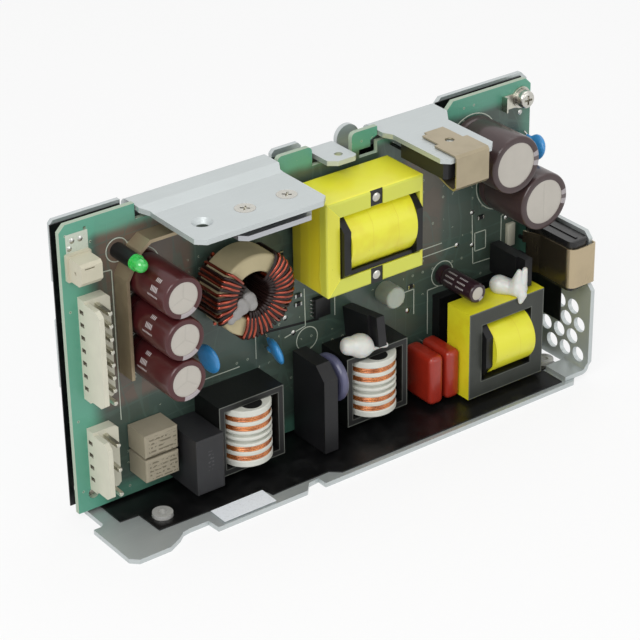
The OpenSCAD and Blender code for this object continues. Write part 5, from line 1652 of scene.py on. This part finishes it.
@dataclass
class Choke(Assembly):
    """One common mode choke: its core stays, its bobbin is turned, and its strands are wound slot by slot."""

    number: int
    left: float
    width: float = 22.4
    bottom: float = 5.4
    height: float = 23.0
    bar: float = 2.0
    gap: float = 0.2
    axis_h: float = 8.8
    spool: float = 7.8
    bore: float = 3.35
    core_r: float = 4.4
    groove_r: float = 6.4
    end: float = 2.1
    thin: float = 1.4
    slot: float = 1.6
    edge: float = 0.3
    # Height and radius of the black disc for the bore's dark end, the ferrite leg in painted shade.
    bore_end: Flat = (12.2, 3.2)
    strands: int = 3
    layers: int = 3
    layer_pitch: float = 1.8
    sunk: float = 0.42
    stagger: float = 0.07
    fill: float = 2.2

    def dress(self) -> None:
        """Dresses the core."""
        low, high = (self.left, self.bottom), (self.left + self.width, self.bottom + self.height)
        # The core's ferrite carries a painted highlight along its chamfers.
        ferrite = FerriteBody("ferrite", rgb(19, 20, 19), 0.45, low, high, self.bar)
        self.coat(ferrite, f"choke_{self.number}_core")

    def foot(self, up: float, h: float = 0.0) -> Point:
        """Returns a place on the bobbin's axis, or in front of it, at a height over its foot."""
        return self.left + self.width / 2, self.bottom + self.bar + self.gap + up, h or self.axis_h

    def bobbin(self, slots: Sequence[float], middle: float, length: float) -> None:
        """Turns the slotted bobbin, and puts a black disc in front of the core for the dark end of its bore: the
        black ferrite leg in painted shade.

        Args:
            slots: Where each wound slot starts.
            middle: Width of the middle flange.
            length: Length of the bobbin.
        """
        groove = middle / 5
        grooves = [slots[1] + self.slot + groove * k for k in (1, 3)]
        cuts = [(z, z + self.slot, self.core_r) for z in slots]
        cuts += [(z, z + groove, self.groove_r) for z in grooves]
        r, e = self.spool, self.edge
        profile = [(self.bore, 0.0), (r - e, 0.0), (r, e)]
        for low, high, inner in sorted(cuts):
            profile += [(r, low - e), (r - e, low), (inner, low), (inner, high), (r - e, high), (r, high + e)]
        profile += [(r, length - e), (r - e, length), (self.bore, length), (self.bore, 0.0)]
        turned, dark = Mould(), Mould()
        turned.lathe(profile, self.foot(0.0), (0, 1, 0), 56)
        turned.piece(f"choke_{self.number}_spool", WHITE, (f"choke_{self.number}_bobbin",))
        # Black disc for the bore's dark end: the black ferrite leg, in painted shade.
        h, radius = self.bore_end
        dark.rod(self.foot(length - 0.02, h), self.foot(length + 0.03, h), radius, 36)
        dark.piece(f"choke_{self.number}_bore_end", BLACK)

    def ring(self, wound: Mould, up: float, radius: float, thick: float) -> None:
        """Adds one ring of wire.

        Args:
            wound: The mesh.
            up: Its place along the bobbin.
            radius: Radius of the ring.
            thick: Radius of the wire.
        """
        turns = [math.tau * i / 8 for i in range(9)]
        section = [(radius + thick * math.cos(turn), thick * math.sin(turn)) for turn in turns]
        wound.lathe(section, self.foot(up), (0, 1, 0), 40)

    def build(self) -> None:
        """Turns the bobbin and winds layers of strands over a fill into each slot."""
        length = self.height - 2 * self.bar - 2 * self.gap
        middle = length - 2 * self.end - 4 * self.slot - 2 * self.thin
        pair = (self.end, self.end + self.slot + self.thin)
        slots = (*pair, *(z + 2 * self.slot + self.thin + middle for z in pair))
        self.bobbin(slots, middle, length)
        strand = self.slot / (2 * self.strands)
        wound = Mould()
        for start in slots:
            for k in range(self.strands):
                for layer in range(self.layers):
                    depth = self.sunk + layer * strand * self.layer_pitch + self.stagger * (k % 2)
                    self.ring(wound, start + strand * (2 * k + 1), self.spool - depth, strand * 0.96)
            self.ring(wound, start + self.slot / 2, self.spool - self.fill, self.slot / 2 - 0.05)
        wound.piece(f"choke_{self.number}_strands", STRAND, (f"choke_{self.number}_winding",), 60)


@dataclass
class Studio:
    """Camera, lamps, floor and backdrop."""

    place: Point = (-0.35865, -0.4796, 0.3657)
    yaw: float = 36.22
    pitch: float = 28.43
    roll: float = -0.92
    lens: float = 132.41
    sensor: float = 36.0
    clip: Flat = (0.01, 20.0)
    lamps: tuple[tuple[str, Point, float, float], ...] = (
        ("key_lamp", (-0.62, -0.45, 0.69), 0.6, 5.6),
        ("top_lamp", (0.25, 0.1, 0.85), 0.6, 1.35),
        ("front_lamp", (0.3, -0.85, 0.35), 0.5, 1.3),
    )
    aim: Point = (0, 0, 0.045)
    sky: float = 0.46
    floor_half: float = 6.0
    paper: tuple[Colour, Colour] = (rgb(240, 240, 240), rgb(244, 244, 244))
    paper_glow: float = 0.8

    def camera(self) -> None:
        """Sets the camera where the photograph was taken."""
        yaw, pitch, roll = (math.radians(a) for a in (self.yaw, self.pitch, self.roll))
        ahead = Vector((math.sin(yaw) * math.cos(pitch), math.cos(yaw) * math.cos(pitch), -math.sin(pitch)))
        level = Vector((math.cos(yaw), -math.sin(yaw), 0))
        above = level.cross(ahead)
        right = math.cos(roll) * level + math.sin(roll) * above
        up = -math.sin(roll) * level + math.cos(roll) * above
        data = bpy.data.cameras.new("photo_camera")
        data.lens, data.sensor_width = self.lens, self.sensor
        data.clip_start, data.clip_end = self.clip
        camera = bpy.data.objects.new("photo_camera", data)
        camera.matrix_world = Matrix.Translation(self.place) @ Matrix((right, up, -ahead)).transposed().to_4x4()
        bpy.context.scene.collection.objects.link(camera)
        bpy.context.scene.camera = camera

    def lamp(self, name: str, place: Point, size: float, power: float) -> None:
        """Hangs a square soft lamp that looks at the object.

        Args:
            name: The lamp's name.
            place: Its place.
            size: Its side in metres.
            power: Its power in watts.
        """
        data = bpy.data.lights.new(name, "AREA")
        data.shape, data.size, data.energy = "SQUARE", size, power
        lamp = bpy.data.objects.new(name, data)
        way = Vector(self.aim) - Vector(place)
        lamp.matrix_world = Matrix.Translation(place) @ way.to_track_quat("-Z", "Y").to_matrix().to_4x4()
        bpy.context.scene.collection.objects.link(lamp)

    def floor(self) -> None:
        """Lays the pale floor, which keeps the object's shadow."""
        mesh = bmesh.new()
        bmesh.ops.create_grid(mesh, x_segments=1, y_segments=1, size=self.floor_half)
        data = bpy.data.meshes.new("floor")
        mesh.to_mesh(data)
        mesh.free()
        floor = bpy.data.objects.new("floor", data)
        bpy.context.scene.collection.objects.link(floor)
        paint = Paint("floor_paper")
        paint.done({"Base Color": paint.mix(paint.noise(3, 2), *self.paper), "Roughness": 0.8})
        glow = paint.signal("ShaderNodeEmission", {}, {"Color": (1.0, 1.0, 1.0), "Strength": 1.0}, 0)
        matte = Signal(paint, paint.shader.outputs[0])
        both = {0: paint.seen() * self.paper_glow, 1: matte, 2: glow}
        blend = paint.signal("ShaderNodeMixShader", {}, both, 0)
        paint.fill(paint.tree.nodes["Material Output"], {0: blend})
        data.materials.append(paint.material)

    def world(self) -> None:
        """Fills the surroundings with soft light, white where the camera sees it."""
        world = bpy.data.worlds.new("studio")
        bpy.context.scene.world = world
        paint = Paint("studio", world)
        paint.done({"Color": (1.0, 1.0, 1.0), "Strength": paint.seen() * (1 - self.sky) + self.sky})

    def build(self) -> None:
        """Sets up the whole studio."""
        bpy.context.scene.view_settings.view_transform = "Standard"
        self.camera()
        self.floor()
        self.world()
        for lamp in self.lamps:
            self.lamp(*lamp)


def assemblies() -> list[Assembly]:
    """Lists the supply's sub-assemblies.

    Returns:
        The sub-assemblies, in the order in which they are built.
    """
    maroon, brown, dark = rgb(70, 26, 28), rgb(66, 50, 50), rgb(44, 24, 32)
    bars = ((132, 5, -1.0, 1.2), (157, 7, -1.8, 1.4), (176, 2.5, -2.8, 1.8), (184, 2, -2.6, 1.6))
    small_bars = tuple((at, 4.5, low, low + 3.9) for at in (112, 140, 168) for low in (-5.0, 0.2))
    return [
        Tray(), Connectors(), Board(), SmallParts(), ToroidChoke(), MainTransformer(), AuxTransformer(),
        Choke(1, 40.2), Choke(2, 85.6), DippedFilms(),
        Dipped("disc_capacitor_1", (42.0, 41.0, 5.6), (1.0, 0.12, -0.1), 4.6, 2.8, ((42.0, 43.2), (42.0, 38.8))),
        Dipped("disc_capacitor_2", (65.4, 35.2, 5.4), (0.92, 0.3, 0.25), 4.2, 2.6, ((65.4, 38.6), (65.2, 34.4))),
        Dipped("disc_capacitor_3", (163.1, 72.2, 5.6), (1.0, -0.25, 0.1), 4.0, 2.8, ((163.0, 75.6), (163.0, 70.6))),
        *(
            Capacitor(
                f"output_capacitor_{i + 1}", (24.2, 47.3 + i * 12.75), 12.5, 22.0, "maroon_sleeve", maroon,
                bars_h=9.3 + 3.7 * i, bars=bars,
            )
            for i in range(3)
        ),
        Capacitor("bulk_capacitor_1", (142.4, 77.3), 18.0, 20.2, "brown_sleeve", brown, (2.0, 17.0), turns=()),
        Capacitor(
            "bulk_capacitor_2", (153.9, 62.1), 18.0, 20.2, "brown_sleeve", brown, (-2.0, 17.0),
            turns=(90.0, 270.0),
        ),
        Capacitor(
            "small_capacitor", (131.4, 37.2), 6.3, 17.0, "dark_sleeve", dark, (-60.0, 20.0), 9.6, small_bars, (),
        ),
    ]


def main() -> None:
    """Builds the studio and every sub-assembly in order, and reports the pieces."""
    logging.basicConfig(level=logging.INFO, format="%(name)s %(message)s")
    Studio().build()
    for assembly in assemblies():
        assembly.dress()
        assembly.build()
        LOG.info("%s done", type(assembly).__name__)


if __name__ == "__main__":
    main()
